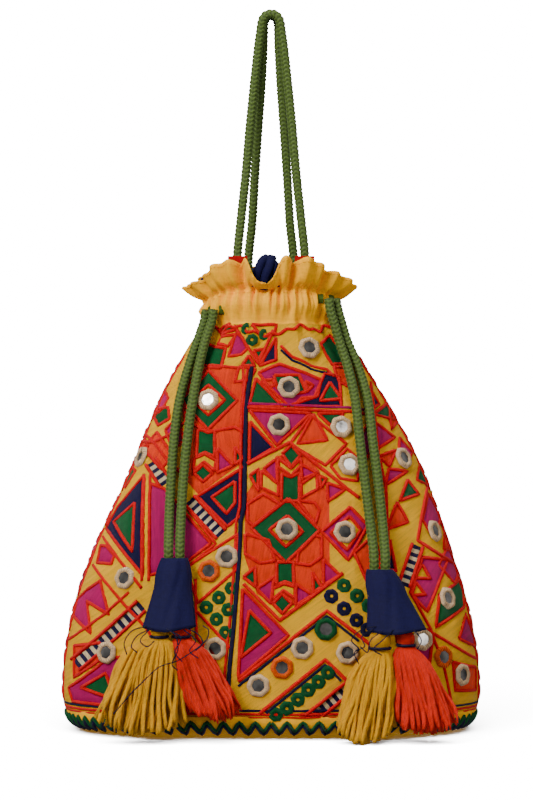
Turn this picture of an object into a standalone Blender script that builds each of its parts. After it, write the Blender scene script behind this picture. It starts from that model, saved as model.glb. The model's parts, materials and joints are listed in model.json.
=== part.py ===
"""A potli bag: an embroidered, mirror-worked drawstring pouch that hangs from two cord handles.

Run it with: blender --background --python part.py
Lengths are in metres and angles in degrees. +Z is up and the front of the bag faces -Y. The origin is where
the handle loops rest on whatever they hang from. Heights in this script are measured up from the lowest
point of the base, and the "hang_point" empty carries every piece down from the origin to that base.
Around the bag, an angle of 0 is the middle of the front, 90 the +X side, 180 the middle of the back.
"""

from math import cos, exp, pi, radians, sin

import bmesh
import bpy
from mathutils import Matrix, Vector

MM = 0.001

# Driving dimensions
HANG_HEIGHT = 510 * MM          # from the base up to the inside of the handle loops
BASE_HEIGHT = 14.6 * MM         # lower edge of the embroidered cloth
SHELL_TOP = 289.6 * MM          # where the embroidered cloth meets the yellow band
SHELL_THICKNESS = 1.8 * MM
CLOTH_THICKNESS = 1.2 * MM
LINING_THICKNESS = 0.8 * MM
LINING_GAP = 1.2 * MM           # between the lining and the cloth around it
SEAM_GAP = 0.5 * MM             # between two cloths sewn edge to edge
CORD_DIAMETER = 7.2 * MM
MIRROR_DIAMETER = 10 * MM
MIRROR_THICKNESS = 1 * MM
MIRROR_GAP = 0.4 * MM
ROUND_SEGMENTS = 36             # facets around the bag

# Height, half width, half depth and squareness of the bag's outer surface
BODY_STATIONS = (
    (0 * MM, 128 * MM, 64 * MM, 2.8),
    (1.5 * MM, 137 * MM, 72.5 * MM, 2.75),
    (4.5 * MM, 143.5 * MM, 78.5 * MM, 2.7),
    (9 * MM, 146.8 * MM, 81.5 * MM, 2.65),
    (15 * MM, 148 * MM, 83 * MM, 2.6),
    (26 * MM, 150 * MM, 84 * MM, 2.6),
    (55 * MM, 148 * MM, 83 * MM, 2.55),
    (90 * MM, 141 * MM, 80 * MM, 2.5),
    (125 * MM, 129.5 * MM, 74.5 * MM, 2.45),
    (160 * MM, 115.6 * MM, 68 * MM, 2.4),
    (195 * MM, 100.8 * MM, 61 * MM, 2.35),
    (229 * MM, 84.5 * MM, 54 * MM, 2.3),
    (252 * MM, 72.5 * MM, 48.5 * MM, 2.2),
    (270 * MM, 62 * MM, 44 * MM, 2.1),
    (282 * MM, 54.5 * MM, 41 * MM, 2.0),
    (290 * MM, 50.5 * MM, 39.5 * MM, 2.0),
)
SWAY = 4 * MM                   # the bag bows this far to +X half-way up
SWAY_HEIGHT = 185 * MM
SWAY_SPREAD = 45 * MM

# The gathered neck: a drawcord casing with a frill above it
CASING_BOTTOM = 294.5 * MM
CASING_TOP = 312 * MM
CASING_WIDTH = 48 * MM          # half width of the yellow cloth around the casing
CASING_DEPTH = 38 * MM
CASING_CHANNEL = 10 * MM       # room for a drawcord between the yellow cloth and the lining
LOWER_RUN = 299.5 * MM          # height of the left drawcord's run round the casing
UPPER_RUN = 307.3 * MM          # height of the right drawcord's run, lying on the left one's
FRILL_TOP = 335 * MM
FRILL_DROP = 27 * MM            # how much lower the frill's edge is at the two sides
FRILL_DROP_POWER = 3.2
FRILL_WIDTH = 58.5 * MM
FRILL_DEPTH = 45 * MM

# Where each drawcord comes out through the casing and hangs as a drop
EXIT_ANGLE = 55
EXIT_STANDOFF = 6 * MM        # from the casing's cloth out to the drop's pivot
STRAND_HALF_GAP = 4 * MM        # from the pivot to each strand's centreline
STUB_GAP = 5.2 * MM             # from the pivot back to the end of the run in the casing

MIRRORS_FRONT = (               # distance across from the middle, and height
    (27, 272), (12.5, 244), (-44.5, 235), (5.5, 217.5), (49.5, 216), (94, 193.5), (55, 189.5),
    (116, 141.5), (11, 144.5), (51.5, 142.5), (-92.5, 194), (-31, 125.5), (-43.5, 115.5),
    (-103, 109.5), (38, 75.5), (21.5, 62.5), (7.5, 49), (-9, 36.5), (53, 59), (106, 67),
    (124.5, 94.5), (121, 54), (135, 40.5), (-39, 62), (-115.5, 57.5),
)
MIRRORS_BACK = ((0, 150), (-48, 205), (48, 205), (-88, 130), (88, 130), (-60, 60), (60, 60), (0, 90), (0, 240))


def height(millimetres):
    return millimetres * MM


def remove_startup_objects():
    for obj in list(bpy.data.objects):
        bpy.data.objects.remove(obj)


def make_material(name, colour, roughness, metallic=0.0):
    material = bpy.data.materials.new(name)
    material.use_nodes = True
    shader = material.node_tree.nodes["Principled BSDF"]
    shader.inputs["Base Color"].default_value = (*colour, 1)
    shader.inputs["Roughness"].default_value = roughness
    shader.inputs["Metallic"].default_value = metallic
    return material


# --- the bag's surface ---------------------------------------------------------------------------


def station(rows, at):
    """The row of values at this height, on a smooth curve through the rows."""
    for i in range(len(rows) - 1):
        if at <= rows[i + 1][0]:
            break
    low, high = rows[i], rows[i + 1]
    before, after = rows[max(i - 1, 0)], rows[min(i + 2, len(rows) - 1)]
    span = high[0] - low[0]
    f = (at - low[0]) / span
    values = []
    for c in range(1, len(low)):
        slope_low = (high[c] - before[c]) / (high[0] - before[0]) * span
        slope_high = (after[c] - low[c]) / (after[0] - low[0]) * span
        values.append(
            (2 * f**3 - 3 * f**2 + 1) * low[c]
            + (f**3 - 2 * f**2 + f) * slope_low
            + (3 * f**2 - 2 * f**3) * high[c]
            + (f**3 - f**2) * slope_high
        )
    return values


def outline(angle, half_width, half_depth, squareness=2.0):
    """A point on a superellipse. Squareness 2 is an ellipse, and more has squarer corners."""
    s, c = sin(radians(angle)), cos(radians(angle))
    rho = (abs(s) ** squareness + abs(c) ** squareness) ** (-1 / squareness)
    return half_width * rho * s, -half_depth * rho * c


def body_point(angle, at):
    half_width, half_depth, squareness = station(BODY_STATIONS, at)
    x, y = outline(angle, half_width, half_depth, squareness)
    return Vector((x + SWAY * exp(-(((at - SWAY_HEIGHT) / SWAY_SPREAD) ** 2)), y, at))


def neck_point(angle, level):
    """The yellow cloth's outer surface. Level 0 is the casing's top, and 1 the frill's edge."""
    grow = level**0.9
    width = CASING_WIDTH + (FRILL_WIDTH - CASING_WIDTH) * grow
    depth = CASING_DEPTH + (FRILL_DEPTH - CASING_DEPTH) * grow
    x, y = outline(angle, width, depth)
    sideways = abs(sin(radians(angle)))
    edge = FRILL_TOP - FRILL_DROP * sideways**FRILL_DROP_POWER
    hump = 5 * MM * sin(pi * level) * sideways**4
    return Vector((x, y, CASING_TOP + (edge - CASING_TOP) * level + hump))


def normal_of(surface, angle, at):
    """The outward unit normal of a surface function of angle and height, or of angle and level."""
    turn, rise = 0.5, 0.2 * MM if surface is body_point else 0.02
    low = max(at - rise, 0)
    across = surface(angle + turn, at) - surface(angle - turn, at)
    up = surface(angle, at + rise) - surface(angle, low)
    return across.cross(up).normalized()


def offset_row(surface, at, distance):
    """One closed ring of points, this far outside the surface."""
    ring = []
    for i in range(ROUND_SEGMENTS):
        angle = 360 * i / ROUND_SEGMENTS
        ring.append(surface(angle, at) + normal_of(surface, angle, at) * distance)
    return ring


def flat_row(half_width, half_depth, at, squareness=2.0):
    ring = []
    for i in range(ROUND_SEGMENTS):
        x, y = outline(360 * i / ROUND_SEGMENTS, half_width, half_depth, squareness)
        ring.append(Vector((x, y, at)))
    return ring


# --- mesh helpers --------------------------------------------------------------------------------


def add_object(name, data, material, body):
    """The data's coordinates are above the base, whichever pivot the body's empty stands on."""
    obj = bpy.data.objects.new(name, data)
    obj.data.materials.append(material)
    bpy.context.scene.collection.objects.link(obj)
    obj.parent = body
    obj.location = -Vector(body["pivot"])
    return obj


def add_empty(name, pivot, parent=None):
    """An empty that stands on a pivot given above the base, and carries the pieces that move about it."""
    empty = bpy.data.objects.new(name, None)
    bpy.context.scene.collection.objects.link(empty)
    empty["pivot"] = Vector(pivot)
    empty.parent = parent
    empty.location = Vector(pivot) - (Vector(parent["pivot"]) if parent else Vector((0, 0, HANG_HEIGHT)))
    return empty


def mesh_from_rows(name, rows, cap_first=False, cap_last=False, pole=None):
    """A tube through closed rings of points. A cap or a pole closes its end."""
    mesh = bmesh.new()
    rings = []
    for row in rows:
        rings.append([mesh.verts.new(point) for point in row])
    count = len(rings[0])
    for low, high in zip(rings, rings[1:]):
        for i in range(count):
            j = (i + 1) % count
            mesh.faces.new((low[i], low[j], high[j], high[i]))
    if cap_first:
        mesh.faces.new(list(reversed(rings[0])))
    if cap_last:
        mesh.faces.new(rings[-1])
    if pole is not None:
        tip = mesh.verts.new(pole)
        for i in range(count):
            j = (i + 1) % count
            mesh.faces.new((tip, rings[0][j], rings[0][i]))
    data = bpy.data.meshes.new(name)
    mesh.to_mesh(data)
    mesh.free()
    return data


def add_cloth(name, rows, thickness, material, body, pole=None):
    """A cloth whose outer side runs through the rows, from the lowest up, thickened inwards."""
    data = mesh_from_rows(name, rows, pole=pole)
    data.shade_smooth()
    obj = add_object(name, data, material, body)
    solidify = obj.modifiers.new("thickness", "SOLIDIFY")
    solidify.thickness = thickness
    solidify.offset = -1
    return obj


def ellipse_ring(centre, half_x, half_y, segments):
    ring = []
    for i in range(segments):
        turn = 2 * pi * i / segments
        ring.append(Vector((centre[0] + half_x * cos(turn), centre[1] + half_y * sin(turn), centre[2])))
    return ring


def smooth_route(points, step):
    """Points on a smooth curve through the route, about a step apart and closer where the route's are."""
    route = [Vector(p) for p in points]
    found = []
    for i in range(len(route) - 1):
        a, b = route[i], route[i + 1]
        before = route[i - 1] if i else a * 2 - b
        after = route[i + 2] if i + 2 < len(route) else b * 2 - a
        pieces = max(1, round((b - a).length / step + 0.35))
        for k in range(pieces):
            f = k / pieces
            slope_a = (b - before) * (b - a).length / ((b - a).length + (a - before).length)
            slope_b = (after - a) * (b - a).length / ((b - a).length + (after - b).length)
            found.append(
                (2 * f**3 - 3 * f**2 + 1) * a
                + (f**3 - 2 * f**2 + f) * slope_a
                + (3 * f**2 - 2 * f**3) * b
                + (f**3 - f**2) * slope_b
            )
    found.append(route[-1])
    return found


def add_cord(name, route, material, body):
    """A cord along a route given in metres above the base."""
    curve = bpy.data.curves.new(name, "CURVE")
    curve.dimensions = "3D"
    curve.bevel_depth = CORD_DIAMETER / 2
    curve.bevel_resolution = 2
    curve.use_fill_caps = True
    path = smooth_route(route, 2.3 * CORD_DIAMETER)
    spline = curve.splines.new("POLY")
    spline.points.add(len(path) - 1)
    for spot, point in zip(spline.points, path):
        spot.co = (*point, 1)
    add_object(name, curve, material, body)


# --- the cloth pieces ----------------------------------------------------------------------------


def add_embroidered_body(material, body):
    heights = [BASE_HEIGHT]
    heights += [height(h) for h in (26, 55, 90, 125, 160, 195, 229, 252, 270, 281)]
    heights.append(SHELL_TOP)
    rows = [offset_row(body_point, at, 0) for at in heights]
    add_cloth("embroidered_body", rows, SHELL_THICKNESS, material, body)


def add_base(band_material, trim_material, panel_material, body):
    band_top = BASE_HEIGHT - SEAM_GAP
    band_heights = (0, height(1.5), height(4.5), height(9), band_top)
    band_rows = [offset_row(body_point, at, 0) for at in band_heights]
    add_cloth("base_band", band_rows, CLOTH_THICKNESS, band_material, body)

    trim_proud = 1.2 * MM
    trim_thickness = 0.8 * MM
    trim_rows = [offset_row(body_point, height(h), trim_proud) for h in (4.5, 7, 10)]
    add_cloth("rickrack_trim", trim_rows, trim_thickness, trim_material, body)

    panel_inset = 1.4 * MM
    half_width, half_depth, squareness = station(BODY_STATIONS, 0)
    edge = (half_width - panel_inset, half_depth - panel_inset)
    panel_rows = [flat_row(edge[0] * share, edge[1] * share, 0, squareness) for share in (0.5, 1)]
    add_cloth("base_panel", panel_rows, CLOTH_THICKNESS, panel_material, body, pole=(0, 0, 0))


def add_neck_band(material, body):
    """The yellow cloth: it starts at the embroidered cloth's edge, holds the casing and ends in the frill."""
    foot = SHELL_TOP + SEAM_GAP
    rows = [flat_row(CASING_WIDTH + 2.5 * MM, CASING_DEPTH + 1.5 * MM, foot)]
    rows.append(flat_row(CASING_WIDTH, CASING_DEPTH, CASING_BOTTOM))
    rows.append(flat_row(CASING_WIDTH, CASING_DEPTH, (CASING_BOTTOM + CASING_TOP) / 2))
    rows += [offset_row(neck_point, level, 0) for level in (0, 0.3, 0.65, 1)]
    band = add_cloth("neck_band", rows, CLOTH_THICKNESS, material, body)
    for side, at in ((-1, LOWER_RUN), (1, UPPER_RUN)):
        cut_cord_exit(band, side, at, body)


def cut_cord_exit(band, side, at, body):
    """The slit in the casing that a drawcord comes out of."""
    pivot, outward, along = exit_frame(side, at)
    half_width = STRAND_HALF_GAP + CORD_DIAMETER / 2 + 5 * MM
    half_height = CORD_DIAMETER / 2 + 0.8 * MM
    half_depth = 5 * MM
    cutter = bmesh.new()
    bmesh.ops.create_cube(cutter, size=2)
    bmesh.ops.scale(cutter, vec=(half_width, half_depth, half_height), verts=cutter.verts)
    turn = Matrix((along, outward, (0, 0, 1))).transposed()
    bmesh.ops.rotate(cutter, matrix=turn, cent=(0, 0, 0), verts=cutter.verts)
    bmesh.ops.translate(cutter, vec=pivot - outward * EXIT_STANDOFF, verts=cutter.verts)
    bmesh.ops.recalc_face_normals(cutter, faces=cutter.faces)
    data = bpy.data.meshes.new("exit_cutter")
    cutter.to_mesh(data)
    cutter.free()
    obj = bpy.data.objects.new("left_exit_cutter" if side < 0 else "right_exit_cutter", data)
    bpy.context.scene.collection.objects.link(obj)
    obj.parent = body
    obj.location = -Vector(body["pivot"])
    obj.hide_render = True
    obj.display_type = "WIRE"
    boolean = band.modifiers.new("cord_exit", "BOOLEAN")
    boolean.operation = "DIFFERENCE"
    boolean.solver = "EXACT"
    boolean.object = obj


def add_lining(material, body):
    """One navy cloth bag inside the others, from the base up through the casing to the frill's edge."""
    inside = -(SHELL_THICKNESS + LINING_GAP)
    half_width, half_depth, squareness = station(BODY_STATIONS, 0)
    floor = 2.8 * MM
    rows = [flat_row(half_width * 0.5, half_depth * 0.5, floor, squareness)]
    heights = (1.5, 9, 26, 55, 90, 125, 160, 195, 229, 252, 270)
    rows += [offset_row(body_point, height(h), inside) for h in heights]
    inner_width = CASING_WIDTH - CLOTH_THICKNESS - CASING_CHANNEL
    inner_depth = CASING_DEPTH - CLOTH_THICKNESS - CASING_CHANNEL
    neck_in = 7 * MM
    rows.append(flat_row(inner_width + neck_in, inner_depth + neck_in, height(283)))
    rows.append(flat_row(inner_width, inner_depth, height(292)))
    rows.append(flat_row(inner_width, inner_depth, CASING_TOP))
    frill_inside = -(CLOTH_THICKNESS + LINING_GAP)
    rows += [offset_row(neck_point, level, frill_inside) for level in (0.45, 0.7, 0.97)]
    add_cloth("lining", rows, LINING_THICKNESS, material, body, pole=(0, 0, floor))


def add_handle_tabs(material, body):
    """Two red cloth tabs that cover the sewn ends of the handle cords, just inside the frill."""
    centre_x, centre_y = 24 * MM, -24.5 * MM
    half_x, half_y = 7 * MM, 0.6 * MM
    low, high = height(319), height(338)
    lean = -4 * MM
    for name, side in (("left_handle_tab", -1), ("right_handle_tab", 1)):
        rows = []
        for at, back in ((low, 0), (high, lean)):
            corners = ((-half_x, -half_y), (half_x, -half_y), (half_x, half_y), (-half_x, half_y))
            rows.append([Vector((side * centre_x + x, centre_y + back + y, at)) for x, y in corners])
        data = mesh_from_rows(name, rows, cap_first=True, cap_last=True)
        add_object(name, data, material, body)


# --- the mirrors ---------------------------------------------------------------------------------


def angle_at(across, at):
    """The angle whose point at this height lies this far across from the middle."""
    low, high = -90.0, 90.0
    for _ in range(40):
        middle = (low + high) / 2
        if body_point(middle, at).x < across:
            low = middle
        else:
            high = middle
    return (low + high) / 2


def add_mirrors(material, body):
    sides = 10
    places = [(angle_at(x * MM, height(h)), height(h)) for x, h in MIRRORS_FRONT]
    names = [f"front_mirror_{i + 1:02d}" for i in range(len(places))]
    places += [(180 - angle_at(x * MM, height(h)), height(h)) for x, h in MIRRORS_BACK]
    names += [f"back_mirror_{i + 1:02d}" for i in range(len(MIRRORS_BACK))]
    for name, (angle, at) in zip(names, places):
        outward = normal_of(body_point, angle, at)
        centre = body_point(angle, at) + outward * (MIRROR_GAP + MIRROR_THICKNESS / 2)
        disc = bmesh.new()
        bmesh.ops.create_cone(
            disc,
            cap_ends=True,
            segments=sides,
            radius1=MIRROR_DIAMETER / 2,
            radius2=MIRROR_DIAMETER / 2,
            depth=MIRROR_THICKNESS,
            matrix=Matrix.Translation(centre) @ outward.to_track_quat("Z", "Y").to_matrix().to_4x4(),
        )
        data = bpy.data.meshes.new(name)
        disc.to_mesh(data)
        disc.free()
        add_object(name, data, material, body)


# --- the cords -----------------------------------------------------------------------------------


def exit_frame(side, at):
    """The pivot of a drawcord's drop, the way out of the casing there, and the way along the casing."""
    angle = side * EXIT_ANGLE
    x, y = outline(angle, CASING_WIDTH, CASING_DEPTH)
    outward = Vector((x / CASING_WIDTH**2, y / CASING_DEPTH**2, 0)).normalized()
    along = Vector((-outward.y, outward.x, 0))
    return Vector((x, y, at)) + outward * EXIT_STANDOFF, outward, along


def add_casing_run(name, side, at, material, body):
    """The hidden stretch of a drawcord, once round the casing, with both ends turned out of the slit."""
    pivot, outward, along = exit_frame(side, at)
    clear = 0.6 * MM
    middle = CLOTH_THICKNESS + clear + CORD_DIAMETER / 2
    width, depth = CASING_WIDTH - middle, CASING_DEPTH - middle
    turn_in = 17
    start = side * EXIT_ANGLE + turn_in
    sweep = 360 - 2 * turn_in
    spans = 22
    route = [pivot + along * STRAND_HALF_GAP - outward * STUB_GAP]
    for i in range(spans + 1):
        x, y = outline(start + sweep * i / spans, width, depth)
        route.append(Vector((x, y, at)))
    route.append(pivot - along * STRAND_HALF_GAP - outward * STUB_GAP)
    add_cord(name, route, material, body)


def add_handles(material, body):
    """Two cord loops. The front loop's legs stand wider than the rear loop's."""
    front = (
        (24.2, -12.8, 301), (24.4, -13.4, 320), (24.2, -13.2, 340), (21.9, -11.8, 363), (18.3, -9.6, 397),
        (15.3, -7.4, 432), (11.8, -5.4, 467), (9, -4.4, 492), (7.4, -4.1, 503), (6.3, -4, 509.5),
        (3.6, -4, 513.4),
    )
    rear = (
        (16.4, 17.8, 301), (16.8, 17.8, 320), (16.4, 16.4, 340), (13.9, 13.4, 363), (11.8, 10.2, 397),
        (9.4, 7.6, 432), (6.9, 5.4, 467), (5.6, 4.4, 492), (5.3, 4.1, 503), (5, 4, 509), (3, 4, 513.2),
    )
    for name, half, apex in (("front_handle", front, 514.4), ("rear_handle", rear, 514.2)):
        right = [Vector(p) * MM for p in half]
        left = [Vector((-p.x, p.y, p.z)) for p in reversed(right)]
        top = Vector((0, right[-1].y, apex * MM))
        add_cord(name, right + [top] + left, material, body)


def add_drop(side, routes, material, body):
    """The two strands of a drawcord that hang from the casing to their cap."""
    pivot, _, along = exit_frame(side, LOWER_RUN if side < 0 else UPPER_RUN)
    label = "left" if side < 0 else "right"
    for toward_front, (name, route) in zip((1, -1), routes.items()):
        start = pivot - along * STRAND_HALF_GAP * toward_front * side
        add_cord(f"{label}_{name}", [start] + [Vector(p) * MM for p in route], material, body)


# --- the caps and tassels ------------------------------------------------------------------------


def add_cap(name, top, mouth, top_size, mouth_size, material, body):
    """A navy cloth cone that hangs mouth down: closed where the cords go in, hollow below."""
    wall = 1.2 * MM
    segments = 16
    ceiling = 0.3
    shape = ((0.0, 1.0), (0.12, 1.12), (0.5, 1.0), (1.0, 1.0))
    outer, inner = [], []
    for share, swell in shape:
        centre = top.lerp(mouth, share)
        half_x = (top_size[0] + (mouth_size[0] - top_size[0]) * share) * swell
        half_y = (top_size[1] + (mouth_size[1] - top_size[1]) * share) * swell
        outer.append(ellipse_ring(centre, half_x, half_y, segments))
    for share in (1.0, 0.65, ceiling):
        centre = top.lerp(mouth, share)
        half_x = top_size[0] + (mouth_size[0] - top_size[0]) * share - wall
        half_y = top_size[1] + (mouth_size[1] - top_size[1]) * share - wall
        inner.append(ellipse_ring(centre, half_x, half_y, segments))
    rings = [list(reversed(ring)) for ring in outer + inner]
    data = mesh_from_rows(name, rings, cap_first=True, cap_last=True)
    data.shade_smooth()
    data.set_sharp_from_angle(angle=radians(45))
    add_object(name, data, material, body)


def add_tassel(name, pivot, head, skirt, material, body):
    """A tied head about the pivot over a skirt of rows: depth below, left and right edge, half depth, in mm."""
    segments = 14
    rings = []
    for polar in (20, 60, 100, 135):
        radius, up = head * sin(radians(polar)), head * cos(radians(polar))
        rings.append(ellipse_ring(pivot + Vector((0, 0, up)), radius, radius, segments))
    for below, left, right, half_y in skirt:
        centre = Vector(((left + right) / 2 * MM, pivot.y, pivot.z - below * MM))
        rings.append(ellipse_ring(centre, (right - left) / 2 * MM, half_y * MM, segments))
    rings = [list(reversed(ring)) for ring in rings]
    data = mesh_from_rows(name, rings, cap_first=True, cap_last=True)
    data.shade_smooth()
    data.set_sharp_from_angle(angle=radians(50))
    add_object(name, data, material, body)


def add_tie(name, pivot, head, material, body):
    """The thread that binds a tassel just below its head."""
    thread = 1 * MM
    clear = 1 * MM
    segments = 12
    waist = head * sin(radians(135))
    curve = bpy.data.curves.new(name, "CURVE")
    curve.dimensions = "3D"
    curve.bevel_depth = thread
    curve.bevel_resolution = 1
    spline = curve.splines.new("POLY")
    spline.points.add(segments - 1)
    radius = waist + clear + thread
    ring = ellipse_ring(pivot - Vector((0, 0, waist)), radius, radius, segments)
    for spot, point in zip(spline.points, ring):
        spot.co = (*point, 1)
    spline.use_cyclic_u = True
    add_object(name, curve, material, body)


# Each drop: its two strands from just below the pivot to the cap, the cap's ends, and its tassels
LEFT_DROP = {
    "front_strand": (
        (-42.2, -29.8, 292), (-46.8, -33.5, 277.7), (-51.5, -39.7, 258), (-55.6, -46.8, 234.5),
        (-59.3, -54, 206), (-61.6, -60.5, 181), (-63, -68.5, 156), (-63.5, -76.5, 138), (-63.6, -79, 131),
        (-63.6, -79, 125.4),
    ),
    "rear_strand": (
        (-47.8, -24, 292), (-52.3, -28.4, 278), (-59, -34, 258), (-65.2, -40.9, 234.5), (-68.8, -49.5, 206),
        (-70.4, -57, 181), (-71.4, -66, 156), (-71.5, -75.5, 138), (-71.5, -79, 131), (-71.5, -79, 125.4),
    ),
}
RIGHT_DROP = {
    "front_strand": (
        (42.4, -30.4, 299), (45.6, -31.6, 288), (48.6, -33, 277), (54.6, -38.3, 258), (59.6, -46, 234.5),
        (62.6, -55, 206), (65.4, -61.8, 181), (69, -69.5, 151), (71.3, -77, 130), (71.6, -79, 123),
        (71.6, -79, 117.4),
    ),
    "rear_strand": (
        (48.2, -24.6, 299), (51.3, -26, 288), (54.6, -27.6, 277), (62.2, -31.8, 258), (68.7, -40.3, 234.5),
        (71.8, -51.2, 206), (74.8, -58.3, 181), (77.8, -67, 151), (79.3, -76.5, 130), (79.5, -79, 123),
        (79.5, -79, 117.4),
    ),
}
CAP_TOP_SIZE = (9.2 * MM, 6.2 * MM)
LEFT_CAP = ((-67.5, -79, 125), (-70, -94, 77), (18 * MM, 12 * MM))
RIGHT_CAP = ((75.5, -79, 117), (87, -94, 75), (20 * MM, 12 * MM))
TASSELS = (
    ("left_yellow_tassel", "left_drop", (-77.5, -95.5, 75.5), 5.5, (
        (7, -85, -71.5, 6), (25, -99, -67, 9.5), (50, -115, -61.5, 11), (66, -119.5, -58.5, 11.5),
        (72, -112, -64, 8),
    )),
    ("left_orange_tassel", "left_drop", (-62.5, -95.5, 75.5), 5.5, (
        (7, -69, -54, 6), (25, -65.5, -43, 9), (48, -60, -27, 10.5), (58, -57, -24, 10.5), (63, -52, -30, 7),
    )),
    ("right_yellow_tassel", "right_drop", (75, -95.5, 69), 7.5, (
        (9, 66, 82.5, 7.5), (25, 55, 82.5, 10), (50, 46, 83, 11.5), (66, 42.5, 83, 11.5), (71.5, 48, 78, 8),
    )),
    ("right_orange_tassel", "right_drop", (93, -95.5, 70), 6, (
        (8, 84.5, 101, 7.5), (25, 84.5, 110, 10), (48, 85, 126, 11.5), (60, 86, 130, 11.5), (66, 92, 124, 8),
    )),
)


def main():
    remove_startup_objects()
    embroidered = make_material("embroidered_cloth", (0.80, 0.22, 0.08), 0.75)
    yellow = make_material("yellow_cloth", (0.92, 0.52, 0.03), 0.7)
    navy = make_material("navy_cloth", (0.01, 0.008, 0.09), 0.8)
    red = make_material("red_cloth", (0.75, 0.01, 0.01), 0.75)
    green_braid = make_material("green_cord", (0.10, 0.17, 0.03), 0.7)
    trim = make_material("rickrack_braid", (0.02, 0.16, 0.06), 0.7)
    glass = make_material("mirror_glass", (0.9, 0.9, 0.9), 0.05, metallic=1.0)
    yarns = {
        "yellow": make_material("yellow_yarn", (1.0, 0.45, 0.0), 0.8),
        "orange": make_material("orange_yarn", (1.0, 0.05, 0.0), 0.8),
    }

    bag = add_empty("hang_point", (0, 0, HANG_HEIGHT))
    add_embroidered_body(embroidered, bag)
    add_base(yellow, trim, embroidered, bag)
    add_neck_band(yellow, bag)
    add_lining(navy, bag)
    add_handle_tabs(red, bag)
    add_mirrors(glass, bag)
    add_handles(green_braid, bag)
    add_casing_run("left_drawcord_run", -1, LOWER_RUN, green_braid, bag)
    add_casing_run("right_drawcord_run", 1, UPPER_RUN, green_braid, bag)

    drops = {}
    for side, label, at, routes, cap in (
        (-1, "left", LOWER_RUN, LEFT_DROP, LEFT_CAP),
        (1, "right", UPPER_RUN, RIGHT_DROP, RIGHT_CAP),
    ):
        drop = add_empty(f"{label}_drop", exit_frame(side, at)[0], bag)
        drops[f"{label}_drop"] = drop
        add_drop(side, routes, green_braid, drop)
        top, mouth, mouth_size = cap
        top, mouth = Vector(top) * MM, Vector(mouth) * MM
        add_cap(f"{label}_cap", top, mouth, CAP_TOP_SIZE, mouth_size, navy, drop)
    for name, drop, pivot, head, skirt in TASSELS:
        pivot = Vector(pivot) * MM
        holder = add_empty(name + "_pivot", pivot, drops[drop])
        add_tassel(name, pivot, head * MM, skirt, yarns[name.split("_")[1]], holder)
        add_tie(name.replace("tassel", "tie"), pivot, head * MM, navy, holder)


main()
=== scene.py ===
"""The looks of the potli bag: embroidery, mirror work, frill, braided cords and yarn tassels.

Shapes are laid out in millimetres, with heights measured up from the bag's base, and `framed` turns them
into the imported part's frame, in metres. The embroidery is laid out across from the middle and up from the
base, as the front of the bag is seen.
"""

import json
from math import ceil, cos, exp, pi, radians, sin
from random import Random

import bpy
import numpy as np
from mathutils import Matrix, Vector
from mathutils.geometry import delaunay_2d_cdt

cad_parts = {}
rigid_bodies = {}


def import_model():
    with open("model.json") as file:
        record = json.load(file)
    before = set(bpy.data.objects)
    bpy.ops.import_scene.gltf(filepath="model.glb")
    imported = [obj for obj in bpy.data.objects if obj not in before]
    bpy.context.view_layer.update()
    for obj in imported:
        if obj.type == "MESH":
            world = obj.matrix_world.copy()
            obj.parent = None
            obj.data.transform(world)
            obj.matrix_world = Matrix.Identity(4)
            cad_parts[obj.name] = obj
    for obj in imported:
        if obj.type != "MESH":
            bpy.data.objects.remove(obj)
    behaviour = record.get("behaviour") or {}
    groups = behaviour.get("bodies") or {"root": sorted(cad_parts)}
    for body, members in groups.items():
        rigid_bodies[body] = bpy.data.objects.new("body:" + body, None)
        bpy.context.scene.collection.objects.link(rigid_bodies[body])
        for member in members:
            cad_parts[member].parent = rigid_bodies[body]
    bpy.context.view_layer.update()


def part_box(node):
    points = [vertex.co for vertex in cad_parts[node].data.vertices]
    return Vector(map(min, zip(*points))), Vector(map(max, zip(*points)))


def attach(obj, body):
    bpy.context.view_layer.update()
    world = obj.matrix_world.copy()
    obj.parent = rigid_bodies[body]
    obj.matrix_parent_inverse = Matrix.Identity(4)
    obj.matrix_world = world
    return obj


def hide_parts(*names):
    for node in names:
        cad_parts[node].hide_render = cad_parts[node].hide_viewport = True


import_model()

MM = 0.001
BASE_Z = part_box("base_panel")[0][2]
CORD_DIAMETER = 7.2 * MM
BASE_HEIGHT = 14.6
SHELL_TOP = 289.6

# Height, half width, half depth and squareness of the bag's outer surface, in millimetres
BODY_STATIONS = (
    (0, 128, 64, 2.8), (1.5, 137, 72.5, 2.75), (4.5, 143.5, 78.5, 2.7), (9, 146.8, 81.5, 2.65),
    (15, 148, 83, 2.6), (26, 150, 84, 2.6), (55, 148, 83, 2.55), (90, 141, 80, 2.5), (125, 129.5, 74.5, 2.45),
    (160, 115.6, 68, 2.4), (195, 100.8, 61, 2.35), (229, 84.5, 54, 2.3), (252, 72.5, 48.5, 2.2),
    (270, 62, 44, 2.1), (282, 54.5, 41, 2.0), (290, 50.5, 39.5, 2.0),
)
SWAY, SWAY_HEIGHT, SWAY_SPREAD = 4, 185, 45
CASING_TOP, CASING_SAG, CASING_WIDTH, CASING_DEPTH = 312, 8, 48, 38
FRILL_TOP, FRILL_DROP, FRILL_DROP_POWER, FRILL_HUMP = 335, 20, 3.2, 2
FRILL_WIDTH, FRILL_DEPTH = 58.5, 45

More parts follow.
